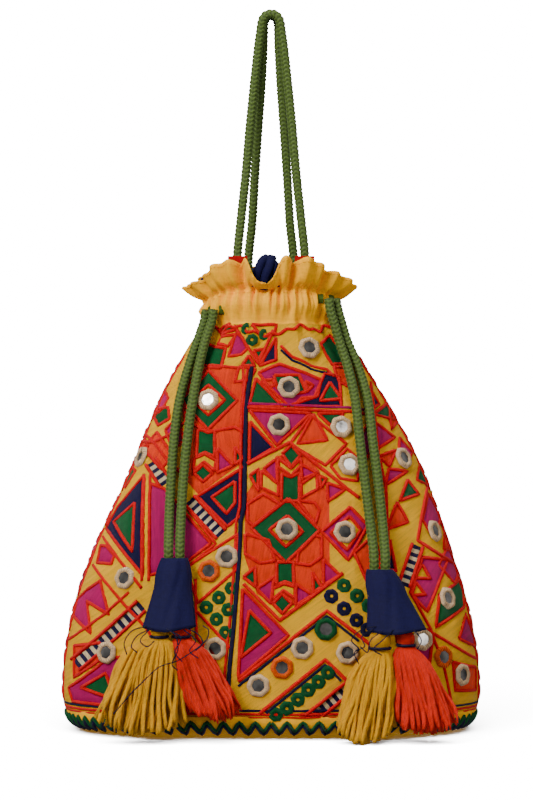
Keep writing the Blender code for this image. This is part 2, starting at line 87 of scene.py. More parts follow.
# Linear thread and cloth colours
RED = (0.80, 0.0, 0.002)
GREEN = (0.0, 0.10, 0.022)
MAGENTA = (0.50, 0.0, 0.12)
ORANGE = (0.95, 0.04, 0.0)
NAVY = (0.003, 0.002, 0.045)
GROUND = (1.0, 0.50, 0.004)
CREAM = (0.80, 0.54, 0.30)
STRIPE_CREAM = (0.80, 0.62, 0.34)
YELLOW_CLOTH = (1.0, 0.45, 0.0)
RING_ORANGE = (0.85, 0.11, 0.0)
CORD_GREEN = (0.055, 0.092, 0.009)
NAVY_CLOTH = (0.003, 0.0025, 0.034)
RED_CLOTH = (0.45, 0.0, 0.002)
YELLOW_YARN = (1.0, 0.46, 0.0)
ORANGE_YARN = (1.0, 0.022, 0.0)
# The mirrors' colour is darkened to paint the dark, brownish surroundings they reflect: painted reflection
PAINTED_MIRROR_TINT = (0.36, 0.34, 0.32)


# --- the bag's surface ---------------------------------------------------------------------------


def station(at):
    """Half width, half depth and squareness at these heights, on smooth curves through the stations."""
    rows = np.array(BODY_STATIONS, float)
    at = np.clip(np.asarray(at, float), 0, rows[-1, 0])
    i = np.clip(np.searchsorted(rows[:, 0], at, side="left") - 1, 0, len(rows) - 2)
    low, high = rows[i], rows[i + 1]
    before, after = rows[np.maximum(i - 1, 0)], rows[np.minimum(i + 2, len(rows) - 1)]
    span = high[..., :1] - low[..., :1]
    f = (at[..., None] - low[..., :1]) / span
    slope_low = (high - before) / (high[..., :1] - before[..., :1]) * span
    slope_high = (after - low) / (after[..., :1] - low[..., :1]) * span
    value = (
        (2 * f**3 - 3 * f**2 + 1) * low
        + (f**3 - 2 * f**2 + f) * slope_low
        + (3 * f**2 - 2 * f**3) * high
        + (f**3 - f**2) * slope_high
    )
    return value[..., 1], value[..., 2], value[..., 3]


def outline(angle, half_width, half_depth, squareness=2.0):
    s, c = np.sin(np.radians(angle)), np.cos(np.radians(angle))
    rho = (np.abs(s) ** squareness + np.abs(c) ** squareness) ** (-1 / squareness)
    return half_width * rho * s, -half_depth * rho * c


def body_points(angle, at):
    """Points on the bag's outer surface, in millimetres above the base."""
    angle, at = np.broadcast_arrays(np.asarray(angle, float), np.asarray(at, float))
    x, y = outline(angle, *station(at))
    return np.stack([x + SWAY * np.exp(-(((at - SWAY_HEIGHT) / SWAY_SPREAD) ** 2)), y, at], axis=-1)


def neck_points(angle, level):
    """The neck cloth's outer surface without its pleats: level 0 is the casing's top, 1 the frill's edge."""
    angle, level = np.broadcast_arrays(np.asarray(angle, float), np.asarray(level, float))
    grow = np.maximum(level, 0) ** 0.9
    width = CASING_WIDTH + (FRILL_WIDTH - CASING_WIDTH) * grow
    depth = CASING_DEPTH + (FRILL_DEPTH - CASING_DEPTH) * grow
    x, y = outline(angle, width, depth)
    sideways = np.abs(np.sin(np.radians(angle)))
    edge = FRILL_TOP - FRILL_DROP * sideways**FRILL_DROP_POWER
    up = np.maximum(level, 0)
    waist = CASING_TOP - CASING_SAG * sideways**4
    z = waist + (edge - waist) * up + FRILL_HUMP * np.sin(pi * up) * sideways**4
    return np.stack([x, y, z + np.minimum(level, 0) * (waist - SHELL_TOP)], axis=-1)


def normals(surface, angle, at, rise):
    across = surface(angle + 0.5, at) - surface(angle - 0.5, at)
    up = surface(angle, np.asarray(at) + rise) - surface(angle, np.asarray(at) - rise)
    n = np.cross(across, up)
    return n / np.linalg.norm(n, axis=-1, keepdims=True)


def angles_at(x, at):
    """The front angle whose point at this height lies this far across."""
    x, at = np.asarray(x, float), np.asarray(at, float)
    low, high = np.full(x.shape, -90.0), np.full(x.shape, 90.0)
    for _ in range(30):
        middle = (low + high) / 2
        less = body_points(middle, at)[..., 0] < x
        low, high = np.where(less, middle, low), np.where(less, high, middle)
    return (low + high) / 2


def framed(points):
    """Millimetres above the base to the frame's metres."""
    points = np.asarray(points, float) * MM
    points[..., 2] += BASE_Z
    return points


# --- materials -----------------------------------------------------------------------------------

WAVE_PERIOD = 0.314                 # between the bands of a wave texture whose scale is 1
STREAKS = (0.05, 0.7, 1)            # how a thread's lighter and darker streaks are drawn out along it
WEAVE_NOISE, CLOUD_NOISE = 315, 60  # scales of the woven threads and of the uneven dye


def new_material(name, roughness):
    material = bpy.data.materials.new(name)
    material.use_nodes = True
    nodes = material.node_tree.nodes
    shader = nodes["Principled BSDF"]
    shader.inputs["Roughness"].default_value = roughness
    return material, nodes, material.node_tree.links, shader


def add_noise(nodes, links, vector, scale, detail=3.0):
    noise = nodes.new("ShaderNodeTexNoise")
    noise.inputs["Scale"].default_value = scale
    noise.inputs["Detail"].default_value = detail
    links.new(vector, noise.inputs["Vector"])
    return noise.outputs["Fac"]


def scaled_vector(nodes, links, vector, scale):
    mapping = nodes.new("ShaderNodeMapping")
    mapping.inputs["Scale"].default_value = scale
    links.new(vector, mapping.inputs["Vector"])
    return mapping.outputs["Vector"]


def add_math(nodes, links, operation, first, second):
    node = nodes.new("ShaderNodeMath")
    node.operation = operation
    for socket, value in zip(node.inputs, (first, second)):
        if isinstance(value, (int, float)):
            socket.default_value = value
        else:
            links.new(value, socket)
    return node.outputs[0]


def shade_by(nodes, links, shader, colour, factor, dark, light):
    """Base colour times a grey that runs from dark to light with the factor."""
    ramp = nodes.new("ShaderNodeMapRange")
    ramp.inputs["From Min"].default_value = 0.3
    ramp.inputs["From Max"].default_value = 0.7
    ramp.inputs["To Min"].default_value = dark
    ramp.inputs["To Max"].default_value = light
    links.new(factor, ramp.inputs["Value"])
    scale = nodes.new("ShaderNodeVectorMath")
    scale.operation = "SCALE"
    if isinstance(colour, tuple):
        scale.inputs[0].default_value = colour
    else:
        links.new(colour, scale.inputs[0])
    links.new(ramp.outputs["Result"], scale.inputs["Scale"])
    links.new(scale.outputs["Vector"], shader.inputs["Base Color"])


def add_bump(nodes, links, shader, height, strength, distance):
    bump = nodes.new("ShaderNodeBump")
    bump.inputs["Strength"].default_value = strength
    bump.inputs["Distance"].default_value = distance
    links.new(height, bump.inputs["Height"])
    links.new(bump.outputs["Normal"], shader.inputs["Normal"])


def thread_material(name, colour=None, pitch=0.42, sheen=0.02):
    """Thread laid along U of the "stitch" map, which is in millimetres. Colour None reads "thread"."""
    material, nodes, links, shader = new_material(name, 0.55)
    shader.inputs["Sheen Weight"].default_value = sheen
    shader.inputs["Specular IOR Level"].default_value = 0.15
    uv = nodes.new("ShaderNodeUVMap")
    uv.uv_map = "stitch"
    streaks = add_noise(nodes, links, scaled_vector(nodes, links, uv.outputs["UV"], STREAKS), 1.0)
    threads = nodes.new("ShaderNodeTexWave")
    threads.bands_direction = "Y"
    threads.inputs["Scale"].default_value = WAVE_PERIOD / pitch
    threads.inputs["Distortion"].default_value = 1.2
    threads.inputs["Detail Scale"].default_value = 0.6
    links.new(uv.outputs["UV"], threads.inputs["Vector"])
    if colour is None:
        attribute = nodes.new("ShaderNodeVertexColor")
        attribute.layer_name = "thread"
        colour = attribute.outputs["Color"]
    # Painted shade: the colour is darker in the bands between the threads. It also runs lighter and darker in
    # streaks along them.
    both = add_math(nodes, links, "ADD", threads.outputs["Fac"], streaks)
    half = add_math(nodes, links, "MULTIPLY", both, 0.5)
    shade_by(nodes, links, shader, colour, half, 0.42, 1.25)
    add_bump(nodes, links, shader, both, 0.8, 0.0008)
    return material


def woven_material(name, colour, thread=0.45, roughness=0.75, speckle=0.9, sheen=0.02):
    """Plain woven cloth: two crossed sets of threads, with slubs and an uneven dye."""
    material, nodes, links, shader = new_material(name, roughness)
    shader.inputs["Sheen Weight"].default_value = sheen
    shader.inputs["Specular IOR Level"].default_value = 0.12
    place = nodes.new("ShaderNodeTexCoord").outputs["Object"]
    fine = add_noise(nodes, links, scaled_vector(nodes, links, place, (1, 1, 0.25)), WEAVE_NOISE / thread)
    cross = add_noise(nodes, links, scaled_vector(nodes, links, place, (0.25, 0.25, 1)), WEAVE_NOISE / thread)
    cloudy = add_noise(nodes, links, place, CLOUD_NOISE)
    weave = add_math(nodes, links, "ADD", fine, cross)
    half = add_math(nodes, links, "MULTIPLY", weave, 0.5)
    mixed = add_math(nodes, links, "ADD", add_math(nodes, links, "MULTIPLY", half, 0.7),
                     add_math(nodes, links, "MULTIPLY", cloudy, 0.3))
    shade_by(nodes, links, shader, colour, mixed, 1 - 0.3 * speckle, 1.1)
    add_bump(nodes, links, shader, weave, 0.35, 0.0004)
    return material


def mirror_material():
    material, nodes, links, shader = new_material("mirror_glass", 0.06)
    shader.inputs["Metallic"].default_value = 1.0
    place = nodes.new("ShaderNodeTexCoord").outputs["Object"]
    # Painted reflection: the mirrors' colour runs darker and lighter in patches, standing in for what they
    # reflect.
    painted_reflection = add_noise(nodes, links, place, 95)
    shade_by(nodes, links, shader, PAINTED_MIRROR_TINT, painted_reflection, 0.10, 1.25)
    add_bump(nodes, links, shader, add_noise(nodes, links, place, 90), 0.25, 0.0012)
    return material


# --- mesh helpers --------------------------------------------------------------------------------

TUBE_ROUND = 1.2    # millimetres of V to a radian round a tube
SMOOTH_STEP = 1.2   # millimetres between points of a smoothed fold or cord


def make_piece(name, points, faces, material, body="bag", uvs=None, colours=None):
    """A mesh piece in the frame's metres that rides on a body. UVs and colours are per face corner."""
    mesh = bpy.data.meshes.new(name)
    mesh.from_pydata([tuple(p) for p in points], [], faces)
    if uvs is not None:
        layer = mesh.uv_layers.new(name="stitch")
        layer.data.foreach_set("uv", np.asarray(uvs, np.float32).ravel())
    if colours is not None:
        layer = mesh.color_attributes.new("thread", "FLOAT_COLOR", "CORNER")
        layer.data.foreach_set("color", np.asarray(colours, np.float32).ravel())
    mesh.materials.append(material)
    mesh.shade_smooth()
    piece = bpy.data.objects.new(name, mesh)
    bpy.context.scene.collection.objects.link(piece)
    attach(piece, body)
    return piece


def grid_faces(rows, columns):
    """Faces between rows of points that each run right round."""
    faces = []
    for r in range(rows - 1):
        for c in range(columns):
            d = (c + 1) % columns
            a, b = r * columns, (r + 1) * columns
            faces.append((a + c, a + d, b + d, b + c))
    return faces


class Batch:
    """Many small shapes gathered into one piece."""

    def __init__(self):
        self.points, self.faces, self.uvs = [], [], []

    def add(self, points, faces, uvs):
        start = len(self.points)
        self.points.extend(points)
        self.faces.extend(tuple(start + i for i in face) for face in faces)
        self.uvs.extend(uvs)

    def add_tube(self, path, radius_mm, sides=6, caps=True, across=False):
        """A tube along the path, whose threads run along it or across it."""
        points, faces, uvs = tube(path, radius_mm * MM, sides, caps=caps)
        self.add(points, faces, [(v, u) for u, v in uvs] if across else uvs)

    def piece(self, name, material, slot, body="bag"):
        return make_piece(name, self.points, self.faces, material, body, self.uvs)


def smooth_route(points, step):
    """Points on a smooth curve through the route, about a step apart."""
    route = [Vector(p) for p in points]
    found = []
    for i in range(len(route) - 1):
        a, b = route[i], route[i + 1]
        before = route[i - 1] if i else a * 2 - b
        after = route[i + 2] if i + 2 < len(route) else b * 2 - a
        length = (b - a).length
        pieces = max(1, round(length / step))
        slope_a = (b - before) * length / (length + (a - before).length)
        slope_b = (after - a) * length / (length + (after - b).length)
        for k in range(pieces):
            f = k / pieces
            found.append(
                (2 * f**3 - 3 * f**2 + 1) * a
                + (f**3 - 2 * f**2 + f) * slope_a
                + (3 * f**2 - 2 * f**3) * b
                + (f**3 - f**2) * slope_b
            )
    found.append(route[-1])
    return found


def tube(path, radius, sides, shape=None, caps=True):
    """A tube along the path. radius is a number or a function of distance along; shape adds to it by angle.

    Its UVs are in millimetres, along it in U and round it in V.
    """
    centres = [Vector(p) for p in path]
    points, faces, uvs = [], [], []
    travelled = 0.0
    ahead = (centres[1] - centres[0]).normalized()
    side = ahead.orthogonal().normalized()
    distances = []
    for i, centre in enumerate(centres):
        if i:
            travelled += (centre - centres[i - 1]).length
        if 0 < i < len(centres) - 1:
            ahead = (centres[i + 1] - centres[i - 1]).normalized()
        elif i:
            ahead = (centre - centres[i - 1]).normalized()
        side = (side - ahead * side.dot(ahead)).normalized()
        other = ahead.cross(side)
        size = radius(travelled) if callable(radius) else radius
        distances.append(travelled)
        for k in range(sides):
            angle = 2 * pi * k / sides
            r = size + (shape(travelled, angle) if shape else 0)
            points.append(centre + (side * cos(angle) + other * sin(angle)) * r)
    faces = grid_faces(len(centres), sides)
    for face in faces:
        first = face[0] % sides
        for corner in face:
            ring, k = divmod(corner, sides)
            k += sides if k < first else 0
            uvs.append((distances[ring] / MM, k / sides * 2 * pi * TUBE_ROUND))
    if caps:
        last = (len(centres) - 1) * sides
        for face in (tuple(range(sides))[::-1], tuple(last + k for k in range(sides))):
            faces.append(face)
            uvs.extend([(0, 0)] * sides)
    return points, faces, uvs


# --- embroidery ----------------------------------------------------------------------------------

# Grounds in a second colour, which have no outline of their own
FRONT_GROUNDS = (
    (ORANGE, 80, ((-18.5, 168), (-6, 186), (4, 196), (24, 196), (34, 186), (41, 164), (41, 122), (34, 106),
                  (22, 92), (4, 92), (-10, 100), (-18.5, 125))),
    (ORANGE, 100, ((-60, 218), (-20, 214), (-19, 192), (-52, 169), (-66, 185))),
)

# Each field of the front: thread colour, direction of its stitches in degrees, and its outline in
# millimetres across and up. A later field lies over an earlier one.
FRONT_FIELDS = (
    (ORANGE, 70, ((-92, 200), (-82, 212), (-70, 196), (-78, 186))),
    (MAGENTA, 60, ((-76, 214), (-66, 224), (-62, 206), (-70, 200))),
    (MAGENTA, 60, ((98, 62), (114, 70), (110, 40), (97, 28))),
    (ORANGE, 80, ((128, 50), (146, 44), (146, 28), (130, 30))),
    (ORANGE, 60, ((-140, 60), (-122, 64), (-116, 56), (-140, 38))),
    (GREEN, 60, ((-70, 100), (-58, 88), (-56, 60), (-66, 70))),
    (MAGENTA, 80, ((-88, 232), (-78, 246), (-74, 236), (-80, 226))),
    (ORANGE, 70, ((-104, 196), (-93, 214), (-88, 202), (-96, 188))),
    (GREEN, 80, ((-112, 180), (-104, 192), (-97, 184), (-104, 172))),
    (MAGENTA, 80, ((-124, 152), (-116, 168), (-111, 162), (-119, 146))),
    (ORANGE, 80, ((-135, 122), (-128, 140), (-123, 136), (-130, 116))),
    (MAGENTA, 80, ((92, 208), (101, 197), (97, 189), (91, 196))),
    (GREEN, 80, ((106, 188), (113, 173), (104, 178))),
    (MAGENTA, 80, ((112, 168), (122, 150), (115, 138), (108, 150))),
    (ORANGE, 80, ((124, 148), (133, 124), (123, 129))),
    (ORANGE, 80, ((84, 240), (93, 222), (86, 214))),
    (MAGENTA, 80, ((119, 118), (126, 130), (135, 112), (131, 104))),
    (GROUND, 20, ((-14, 289), (4, 289), (2, 282), (-6, 280))),
    (MAGENTA, 90, ((62, 208), (70, 220), (72, 200), (66, 192))),
    (ORANGE, 90, ((58, 128), (72, 140), (78, 120), (68, 106))),
    (GREEN, 0, ((-38.5, 285), (-36, 288.5), (-28, 290), (-26, 286), (-37, 282))),
    (GROUND, 80, ((-37, 280), (-25.5, 283), (-31.5, 274), (-39, 276))),
    (MAGENTA, 30, ((-25.5, 284), (-21, 280), (-17, 272), (-21, 268), (-31, 266.5))),
    (GREEN, 90, ((-13, 271), (-5, 272), (-9, 264))),
    (GREEN, 0, ((-49, 270), (-47, 276), (-41, 274), (-33, 272), (-36, 258), (-42, 258), (-50, 261))),
    (GREEN, 70, ((-16, 267), (-12, 260), (-21, 259.5))),
    (ORANGE, 80, ((-58, 250), (-44, 260), (-20, 258), (-18.5, 212), (-26, 216), (-45, 212), (-62, 222),
                  (-63, 240))),
    (GROUND, 10, ((-23, 259), (-11.5, 257.5), (-16, 249.5), (-26, 248))),
    (GREEN, 90, ((-65, 235), (-44.5, 256), (-24, 235), (-44.5, 214))),
    (GROUND, 90, ((-56, 235), (-44.5, 245.5), (-33, 235), (-44.5, 224.5))),
    (GREEN, 0, ((-52, 214), (-40, 213), (-40, 195), (-47, 198), (-53, 195))),
    (MAGENTA, 80, ((-38, 201), (-27, 189), (-38, 184))),
    (GREEN, 90, ((-25.5, 202), (-19.7, 194), (-25.5, 190))),
    (GREEN, 0, ((-55, 183.7), (-48.3, 189.7), (-41.5, 183.7), (-48.3, 177.7))),
    (NAVY, 45, ((-18.5, 188.5), (-18.5, 160), (-20, 155), (-31, 146.5), (-52.5, 167.5))),
    (GREEN, 70, ((-25.5, 178), (-25.5, 163), (-31.3, 155.5), (-42, 167))),
    (MAGENTA, 90, ((-86, 176), (-75, 172), (-60, 155), (-42.5, 135), (-62, 119.5), (-86, 112))),
    (NAVY, 90, ((-90.5, 182), (-90.5, 112), (-118, 143), (-110, 158))),
    (GREEN, 90, ((-97, 162), (-98, 128), (-112.5, 148))),
    (MAGENTA, 20, ((-122, 131), (-117, 131), (-111, 125), (-113, 119), (-124, 119))),
    (MAGENTA, 60, ((-121, 107), (-115, 84), (-131, 92), (-128, 70), (-141, 80), (-138, 93), (-131, 100))),
    (MAGENTA, 30, ((-144, 30), (-116, 53), (-100, 56), (-100, 20), (-141, 21))),
    (GREEN, 10, ((-135, 31.5), (-117, 43), (-110, 25))),
    (GREEN, 0, ((-83.5, 222), (-80, 229), (-74, 230), (-73, 222), (-81, 217))),
    (NAVY, 80, ((3.5, 280), (3.5, 264), (-8, 260))),
    (GREEN, 20, ((36.5, 276), (43, 282), (53.5, 267), (53.5, 262), (44, 261), (39.5, 268))),
    (ORANGE, 80, ((45, 259), (56, 259), (57, 244), (49, 248))),
    (MAGENTA, 20, ((-9, 255), (6, 261), (36, 250), (33, 238), (12, 231), (-2, 245))),
    (GREEN, 0, ((2, 253), (20, 253), (25, 241), (18, 240), (4, 244))),
    (ORANGE, 80, ((-7, 249), (1, 250), (3, 246), (-1, 244.5))),
    (ORANGE, 80, ((24, 248.5), (30, 246), (26, 241.5))),
    (ORANGE, 90, ((8, 244), (16, 241), (12, 239))),
    (GREEN, 0, ((-11, 251), (8, 231), (-16, 231))),
    (NAVY, 10, ((16, 231), (21.5, 236.5), (31, 237.5), (38.5, 254.5), (49, 252), (50, 230.5))),
    (GREEN, 80, ((42, 248), (35, 235), (50, 236))),
    (MAGENTA, 90, ((-15.5, 228), (28, 226), (4, 203))),
    (NAVY, 90, ((-15, 220), (2, 201.5), (-15.5, 191))),
    (GREEN, 90, ((33, 226), (51.5, 226), (45.5, 214))),
    (GROUND, 45, ((28, 224.5), (53.5, 204.5), (38.5, 189.5), (13, 204))),
    (ORANGE, 90, ((30, 225.5), (40, 207), (18.5, 204.5))),
    (GREEN, 90, ((7.5, 197), (14.5, 203.5), (20.5, 196), (14, 188))),
    (MAGENTA, 90, ((-5.5, 186.5), (4, 194), (4.5, 176))),
    (MAGENTA, 90, ((21, 190), (32.5, 184), (21.7, 179.5))),
    (GREEN, 90, ((7.5, 183), (14, 181), (20, 184), (20, 164), (7, 164))),
    (GROUND, 90, ((-7, 185.5), (5, 176), (5, 168), (-7, 173.5))),
    (GROUND, 90, ((21, 176), (32.5, 184), (32.5, 172.5), (21, 166.5))),
    (GREEN, 90, ((-15, 182), (-9, 186.5), (-9, 171))),
    (GREEN, 90, ((34, 182), (39, 180), (35, 173.5))),
    (MAGENTA, 90, ((39.5, 177), (52.5, 172.5), (40, 164))),
    (ORANGE, 80, ((-5.5, 169), (6, 162), (-12.5, 147), (-16.5, 150.5), (-16.5, 162))),
    (ORANGE, 100, ((18, 165), (30.5, 163), (34, 158), (31, 148.5))),
    (GREEN, 45, ((12, 166), (34, 144), (10.3, 121.5), (-14, 145.5))),
    (GROUND, 45, ((11.4, 154), (22, 143), (10.3, 132.7), (-1.2, 144.4))),
    (ORANGE, 80, ((-18.3, 141.5), (-2, 137), (2.7, 123), (-7.8, 121), (-18.3, 127.7))),
    (ORANGE, 80, ((30.7, 140.4), (19, 128.8), (17.8, 121), (27, 119.6), (35.3, 125.3), (35.3, 139))),
    (GREEN, 90, ((3.8, 122), (15.5, 122), (16, 106), (9.7, 108.3), (3.8, 106))),
    (GREEN, 90, ((1.2, 93.3), (7.7, 100.3), (14.2, 93.3), (7.7, 86.3))),
    (MAGENTA, 90, ((-10, 103.6), (2, 111.7), (-0.2, 93.3))),
    (MAGENTA, 90, ((17.2, 107), (28.9, 99), (17.2, 92))),
    (GREEN, 90, ((-19.5, 111.5), (-11.3, 118.4), (-10.7, 104.6))),
    (GREEN, 90, ((28.9, 115), (35.3, 104.6), (29.5, 101))),
    (MAGENTA, 90, ((36.5, 124), (48, 112.7), (36.5, 105.8))),
    (MAGENTA, 60, ((55.7, 160), (68, 146.8), (54, 123), (35.5, 143))),
    (GROUND, 60, ((55, 153.5), (63, 144), (53, 130), (41.5, 142))),
    (MAGENTA, 20, ((-20, 103.6), (12, 71.3), (-23, 41.3))),
    (GREEN, 20, ((-15.4, 88.7), (-0.2, 73), (-21.2, 55.8))),
    (NAVY, 90, ((71, 245), (78, 232), (72, 229))),
    (GREEN, 90, ((73, 225), (84.5, 233), (88, 221))),
    (MAGENTA, 90, ((73, 220), (88.5, 208.5), (74, 199.5))),
    (ORANGE, 90, ((76, 195), (89, 199.5), (84, 188))),
    (MAGENTA, 90, ((83.5, 186.5), (97.5, 184.5), (81, 175))),
    (GREEN, 90, ((97.5, 178.5), (105.5, 168), (91.7, 164))),
    (ORANGE, 90, ((89.5, 163), (97.7, 149), (81.3, 144))),
    (NAVY, 90, ((83.7, 137), (88, 115), (82, 116))),
    (MAGENTA, 60, ((107.5, 124), (126, 121), (110, 86), (98, 100))),
    (GROUND, 0, ((107, 119), (113, 109), (101, 110))),
    (GROUND, 0, ((102, 107), (109, 98), (99, 98))),
    (GREEN, 90, ((137, 107), (138, 87), (116, 75), (119, 97))),
    (MAGENTA, 30, ((133, 66), (139, 82), (147, 58))),
)

# Couched lines that edge no field: colour, width and route
FRONT_LINES = (
    (NAVY, 3.4, ((-14, 259), (-18, 230), (-18.5, 190), (-19, 160), (-21.5, 150), (-22.5, 125), (-24, 105),
                 (-26, 80), (-29, 50), (-31, 18))),
    (RED, 2.4, ((-17, 257), (-21, 230), (-21.5, 190), (-22, 160), (-24.5, 150), (-25.5, 125), (-27, 105),
                (-29, 80), (-32, 50), (-34, 18))),
    (RED, 2.6, ((-28, 290), (-9, 261), (1.5, 285))),
    (RED, 2.4, ((7, 274), (15, 266), (28, 260), (40, 257), (45, 252))),
    (NAVY, 2.0, ((7, 271), (15, 263.5), (28, 257.5), (40, 254.5))),
    (RED, 2.6, ((-17, 230), (54, 227), (72, 224))),
    (MAGENTA, 2.2, ((-17, 232.8), (54, 229.8), (70, 227))),
    (RED, 3.0, ((-17, 190), (13, 205), (62, 166))),
    (RED, 3.0, ((-19.5, 107), (6, 81.6), (50, 114))),
    (RED, 2.6, ((42, 189), (54, 201), (62, 193), (61, 178), (49, 180), (42, 189))),
    (RED, 2.6, ((-91, 182), (-91, 108))),
    (RED, 2.6, ((-86, 182), (-86, 108))),
    (RED, 2.6, ((-60, 160), (-39, 134.5), (-61, 116))),
    (RED, 2.6, ((-120, 137), (-91, 103))),
    (RED, 2.6, ((-127, 117), (-104, 92), (-88, 76), (-70, 52), (-58, 17))),
    (RED, 2.6, ((-23, 141.5), (-24, 117), (-51, 93.5), (-60, 118), (-23, 141.5))),
    (RED, 2.6, ((-51.6, 87.4), (-27.8, 62))),
    (RED, 2.4, ((-53, 110), (-52, 70), (-40, 55), (-33, 40))),
    (RED, 3.0, ((-23, 39.3), (38.8, 88), (63, 69.3), (79, 57))),
    (NAVY, 2.2, ((-23, 36), (38.8, 84.5), (61, 67))),
    (RED, 3.0, ((-7.8, 17.4), (37.6, 54.3), (50.5, 41.6), (66, 27))),
    (NAVY, 2.2, ((-3.5, 17.4), (37.6, 50.8), (48.5, 39.6))),
    (RED, 3.0, ((111, 172), (106.4, 148.5), (104, 136), (130, 118))),
    (RED, 3.0, ((72, 248), (73, 225), (76, 195), (81, 175), (82, 145), (82, 112), (86, 80), (92, 50),
                (94, 17))),
    (RED, 2.6, ((109, 74), (146, 50))),
    (RED, 2.6, ((98, 100), (112, 74), (122, 45), (128, 17))),
    (RED, 2.6, ((-100, 205), (-84, 205), (-70, 212), (-58, 222))),
    (RED, 2.6, ((-96, 216), (-84, 205), (-72, 190), (-58, 180))),
    (RED, 2.6, ((-146, 62), (-118, 84), (-100, 100))),
)

# Striped bars of navy and cream: from, to, width and how many stripes
FRONT_BARS = (
    ((-58, 165), (-35, 141), 7, 13), ((-86, 191.5), (-75, 176), 7, 7), ((-91, 91), (-139, 47), 7, 21),
    ((26, 12.7), (55, 35.8), 6, 13), ((104, 132.5), (93.5, 104.6), 6.5, 11),
)

# Outlines of the chevrons, which show the plain cloth
FRONT_CHEVRONS = (
    ((-54.5, 194), (-47, 197), (-39, 192.5), (-40, 185.5), (-47.5, 191.5), (-55, 185.5)),
    ((5, 194), (14, 187), (21, 194), (21, 189), (14, 182), (5, 188)),
    ((1, 103.6), (9, 107), (16.7, 104.8), (16.7, 96.7), (8.5, 102.5), (0.3, 95.6)),
)

# Buttonhole eyelets without a mirror: colour, radius and centres
FRONT_EYELETS = (
    (GREEN, 4.5, ((-17.7, 286), (-4.6, 282), (-13.8, 278))),
    (GREEN, 4.9, ((-27.8, 103.7), (-36.5, 97.3), (-30, 89), (-45.2, 90.4), (-38.3, 82.3), (-31.9, 73.3))),
    (NAVY, 5.2, ((42, 98.3), (50.8, 89.6), (59.4, 81.5), (66.8, 74.8))),
    (GREEN, 5.2, ((50.8, 105.5), (59.8, 98.3), (68, 91.2))),
    (GREEN, 5.2, ((3.3, 16.5), (10.8, 20.8), (18.4, 26.8), (25.6, 33.5), (32.6, 39), (39.4, 45.6))),
)

OUTLINE_WIDTH, RAISED = 2.7, 0.75
EDGE_ANGLE, EDGE_TURN = 74, 2.0
MIRRORS = (("front", 25), ("back", 9))
RING_RADIUS, RING_HOLE, RING_HEIGHT, RING_STITCHES, RING_SUNK, RING_TURN = 7.9, 4.2, 2.6, 30, 0.6, 0.7
EYELET_HOLE, EYELET_HEIGHT, EYELET_STITCHES = 1.1, 1.3, 22
SPECIAL_RINGS = {13: RING_ORANGE, 15: GREEN, 17: RING_ORANGE, 22: RING_ORANGE}

# Where the pouch's gathers start and are full, and the depths of gathers, slack and quilted dimples
PLEAT_LOW, PLEAT_HIGH, PLEAT_DEPTH = 215, 285, 2.6
SLACK_DEPTH, DIMPLE_DEPTH = 0.9, 0.3


def star_fields(x, z, size):
    """A mirror star: a green diamond in a magenta one, with orange and navy triangles at its sides."""
    def diamond(reach):
        return ((x - reach, z), (x, z + reach), (x + reach, z), (x, z - reach))

    wide, gap = size * 1.05, size * 0.42
    corners = ((1, 1), (-1, 1), (1, -1), (-1, -1))
    layers = ((MAGENTA, 1), (GREEN, 0.74), (GROUND, 0.45))
    fields = [(colour, 45, diamond(size * share)) for colour, share in layers]
    for i, (across, up) in enumerate(corners):
        corner = ((gap, wide), (wide, gap), (wide, wide))
        fields.append(((ORANGE, NAVY)[i % 2], 90, tuple((x + across * a, z + up * b) for a, b in corner)))
    return fields


# The back's stars, as place and size, and the shapes and lines of its right half, which its left half mirrors
BACK_STARS = (
    (0, 150, 26), (-48, 205, 17), (48, 205, 17), (-88, 130, 22), (88, 130, 22), (-60, 60, 24), (60, 60, 24),
    (0, 90, 19), (0, 240, 16),
)
BACK_SHAPES = (
    (MAGENTA, ((8, 40), (30, 84), (30, 17), (8, 17))),
    (NAVY, ((118, 100), (100, 62), (96, 17), (128, 17))),
    (ORANGE, ((24, 168), (34, 188), (60, 172), (42, 140))),
    (GREEN, ((28, 118), (44, 96), (58, 128), (44, 134))),
    (GREEN, ((22, 262), (44, 262), (40, 236), (24, 240))),
    (ORANGE, ((70, 240), (80, 222), (72, 212), (62, 232))),
    (NAVY, ((100, 180), (104, 160), (82, 172), (84, 188))),
)
BACK_LINES = (
    (RED, 3.0, ((0, 268), (30, 218), (72, 176), (112, 168))),
    (RED, 3.0, ((14, 200), (36, 170), (40, 118), (24, 106))),
    (RED, 2.6, ((66, 98), (96, 96), (134, 70))),
    (NAVY, 2.4, ((66, 94.5), (96, 92.5), (133, 66.5))),
    (RED, 2.6, ((76, 236), (66, 180), (64, 150), (70, 100))),
)
BACK_STITCHES = 70      # the direction of the shapes' stitches, in degrees


def back_pattern():
    """The back's plainer panel: stars round its mirrors, with shapes and lines between them."""
    fields, lines = [], []
    for star in BACK_STARS:
        fields += star_fields(*star)
    for side in (-1, 1):
        for colour, points in BACK_SHAPES:
            fields.append((colour, BACK_STITCHES, tuple((side * x, z) for x, z in points)))
        for colour, width, points in BACK_LINES:
            lines.append((colour, width, tuple((side * x, z) for x, z in points)))
    return fields, lines


SIDE_TRIANGLES, SIDE_LOW, SIDE_PITCH, SIDE_TALL, SIDE_REACH = 10, 20, 25, 22, 7
SIDE_STITCHES, SIDE_SEAM_WIDTH, SIDE_SEAM_OUT = 80, 3.2, 7.9


